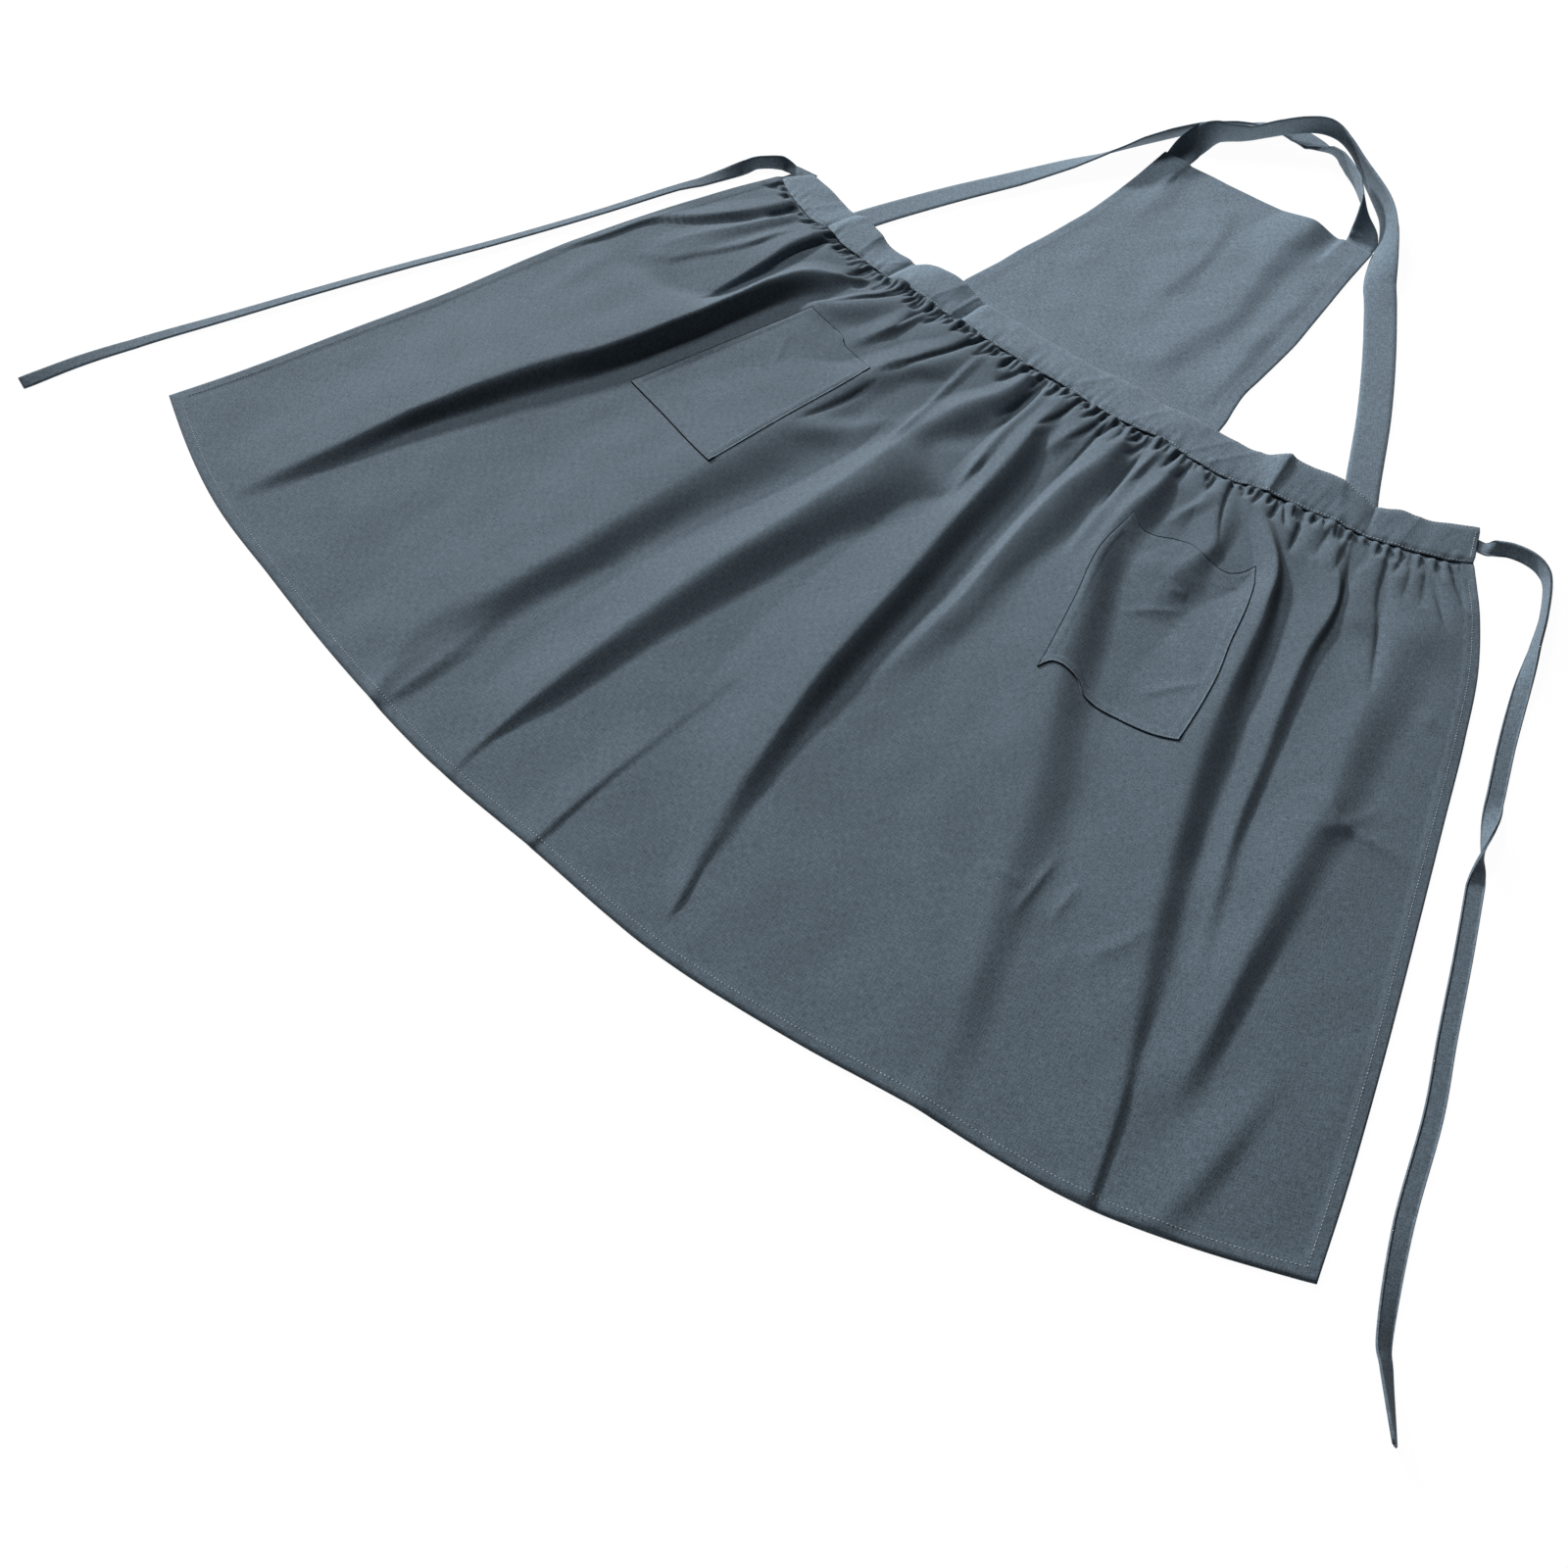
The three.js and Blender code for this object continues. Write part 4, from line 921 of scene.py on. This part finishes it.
# Straps and ties. Columns: x, y, lift of the lower edge, tilt in degrees with the left edge up
STRAP_LEFT = [
    (-289, -18, 0, 0), (-269, 28, 0, -4), (-238, 92, 0, -7), (-206, 151, 0, -11), (-178, 204, 0, -22),
    (-156, 243, 0, -41), (-142, 274, 0, -51), (-127, 304, 0, -55), (-110, 334, 0, -54),
    (-87, 366, 0, -44), (-62, 394, 0, -24), (-33, 406, 0, -8), (-10, 404, 0, -7), (8, 397, 0, -24),
    (22, 390, 0, -56), (36, 382, 0, -68), (53, 370, 0, -70), (69, 355, 0, -74), (85, 337, 0, -64),
    (97, 321, 0, -38), (104, 308, 0, -14), (107, 296, 0, 0), (107, 267, 0, 0),
]
STRAP_RIGHT = [
    (-103, 267, 0, 0), (-103, 296, 0, 0), (-101, 312, 0, 26), (-93, 327, 0, 70), (-83, 344, 0, 110),
    (-64, 360, 1, 118), (-45, 375, 7, 114), (-27, 391, 11, 114), (-8, 404, 13, 116), (10, 407, 12, 117),
    (30, 400, 8, 115), (54, 385, 2, 106), (79, 365, 0, 96), (104, 342, 0, 86), (123, 314, 0, 72),
    (137, 283, 0, 42), (152, 253, 0, 16), (170, 224, 0, 7), (206, 158, 0, 6), (239, 91, 0, 6),
    (271, 18, 0, 2), (287, -16, 0, 0),
]
TIE_LEFT = [
    (-361, 18, 0, 0), (-386, 16, 0, 0), (-397, 11, 0, -62), (-407, 3, 0, -78), (-416, -7, 0, -80),
    (-421, -20, 0, -60), (-431, -38, 0, -20), (-453, -86, 0, 14), (-485, -170, 0, 18),
    (-523, -259, 0, 18), (-565, -348, 0, 16), (-605, -438, 0, 14), (-635, -508, 0, 10),
    (-665, -575, 0, 2), (-686, -631, 0, -8), (-700, -686, 0, -18),
]
TIE_RIGHT = [
    (362, 18, 0, 0), (384, 19, 0, 0), (392, 21, 0, 50), (404, 27, 0, 66), (419, 29, 0, 70),
    (432, 25, 0, 76), (443, 13, 0, 82), (456, -19, 0, 80), (466, -55, 0, 66), (478, -99, 0, 22),
    (493, -150, 0, 4), (511, -205, 0, 0), (524, -249, 0, 90), (535, -280, 0, 180), (555, -335, 0, 180),
    (577, -399, 0, 180), (597, -455, 0, 180), (618, -532, 0, 176), (642, -599, 0, 154),
    (654, -619, 0, 140), (678, -653, 0, 115),
]
STRAP_WIDTH, TIE_WIDTH = 28.0, 12.0


def ribbon_piece(name, rows, width, thickness, steps, across, material):
    """A strap or tie along its row of places, and its length."""
    rows = np.array(rows, float)
    count = len(rows) - 1
    t = np.linspace(0, count, count * steps + 1)
    knots = np.arange(count + 1)
    middle = np.stack([curve(knots, rows[:, k], t) for k in range(3)], -1)
    tilt = np.radians(np.interp(t, knots, rows[:, 3]))
    heading = np.gradient(middle[:, :2], axis=0)
    heading /= np.linalg.norm(heading, axis=1, keepdims=True)
    level = np.cos(tilt)
    half = np.stack([-heading[:, 1] * level, heading[:, 0] * level, np.sin(tilt)], -1) * width / 2
    middle[:, 2] += np.abs(half[:, 2]) + thickness / 2 * np.abs(level)
    s = np.linspace(1, -1, across + 1)
    grid = middle[:, None] + half[:, None] * s[None, :, None]
    travelled = np.concatenate([[0], np.cumsum(np.linalg.norm(np.diff(middle, axis=0), axis=1))])
    uv = np.stack(np.broadcast_arrays(s[None] * width / 2, travelled[:, None]), -1) * 0.001
    reach = np.hypot(grid_normals(grid)[..., 2], RIM * np.sin(tilt)[:, None]) * thickness / 2
    lowest = (grid[..., 2] - reach).min(axis=1)
    grid[..., 2] += np.clip(CLEAR - lowest, 0, None)[:, None]
    piece, _ = closed_sheet(name, grid, thickness, uv, material)
    return piece, travelled[-1]


ribbons = {}
for node, rows, width, material in (
    ("strap_left", STRAP_LEFT, STRAP_WIDTH, strap_cloth),
    ("strap_right", STRAP_RIGHT, STRAP_WIDTH, strap_cloth),
    ("tie_left", TIE_LEFT, TIE_WIDTH, tie_cloth),
    ("tie_right", TIE_RIGHT, TIE_WIDTH, tie_cloth),
):
    ribbons[node] = ribbon_piece(node + "_cloth", rows, width, DOUBLED, 10, 8, material)


# Each piece goes under the root, and the imported part it stands for is hidden
def declare(obj, node, sewing=None):
    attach(obj, "root")
    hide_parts(node)
    if sewing:
        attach(sewing, "root")


declare(skirt, "skirt", sewing=skirt_stitches)
for node, (obj, sewing) in pockets.items():
    declare(obj, node, sewing=sewing)
declare(waistband, "waistband", sewing=waistband_stitches)
declare(bib, "bib", sewing=bib_stitches)
for node, (obj, length) in ribbons.items():
    width = STRAP_WIDTH if "strap" in node else TIE_WIDTH
    declare(obj, node)

# Floor, light and camera
floor_material = bpy.data.materials.new("pale floor")
floor_material.use_nodes = True
floor_shader = floor_material.node_tree.nodes["Principled BSDF"]
set_inputs(floor_shader, {
    "Base Color": (0.06, 0.06, 0.06, 1), "Roughness": 0.9, "Specular IOR Level": 0.0,
    "Emission Color": (1, 1, 1, 1), "Emission Strength": 0.97,
})
FLOOR_SIZE, FLOOR_Z = 24, -0.0004
bpy.ops.mesh.primitive_plane_add(size=FLOOR_SIZE, location=(0, 0, FLOOR_Z))
floor = bpy.context.object
floor.name = "floor"
floor.data.materials.append(floor_material)

scene = bpy.context.scene
world = bpy.data.worlds.new("studio")
world.use_nodes = True
set_inputs(world.node_tree.nodes["Background"], {"Color": (1, 1, 1, 1), "Strength": 0.05})
scene.world = world

# Two lamps on the left: a broad high one and a smaller low one. Columns: elevation, size, energy
LAMPS = {"key": (44, 2.2, 385), "low": (21.5, 0.7, 770)}
LIGHT_FROM = Vector((-0.95, 0.31, 0)).normalized()
LIGHT_DISTANCE = 8.0
centre = Vector(metres((0, -230, 0)))
for name, (elevation, size, energy) in LAMPS.items():
    rise = math.radians(elevation)
    toward = LIGHT_FROM * math.cos(rise) + Vector((0, 0, math.sin(rise)))
    lamp = bpy.data.lights.new(name, "AREA")
    lamp.shape = "DISK"
    lamp.size = size
    lamp.energy = energy
    light = bpy.data.objects.new(name, lamp)
    light.location = centre + toward * LIGHT_DISTANCE
    light.rotation_euler = (-toward).to_track_quat("-Z", "Y").to_euler()
    scene.collection.objects.link(light)

camera_data = bpy.data.cameras.new("camera")
SENSOR, FOCAL_PIXELS, IMAGE_PIXELS = 36, 1530, 1600
camera_data.sensor_width = SENSOR
camera_data.lens = SENSOR * FOCAL_PIXELS / IMAGE_PIXELS
camera_data.clip_start = 0.05
camera = bpy.data.objects.new("camera", camera_data)
forward = Vector((-0.3589, 0.4018, -0.8425)).normalized()
right = Vector((0.7457, 0.6663, 0)).normalized()
above = right.cross(forward).normalized()
turn = Matrix((right, above, -forward)).transposed().to_4x4()
camera.matrix_world = Matrix.Translation(Vector(metres(CAMERA))) @ turn
scene.collection.objects.link(camera)
scene.camera = camera

scene.view_settings.view_transform = "Standard"
scene.view_settings.look = "None"
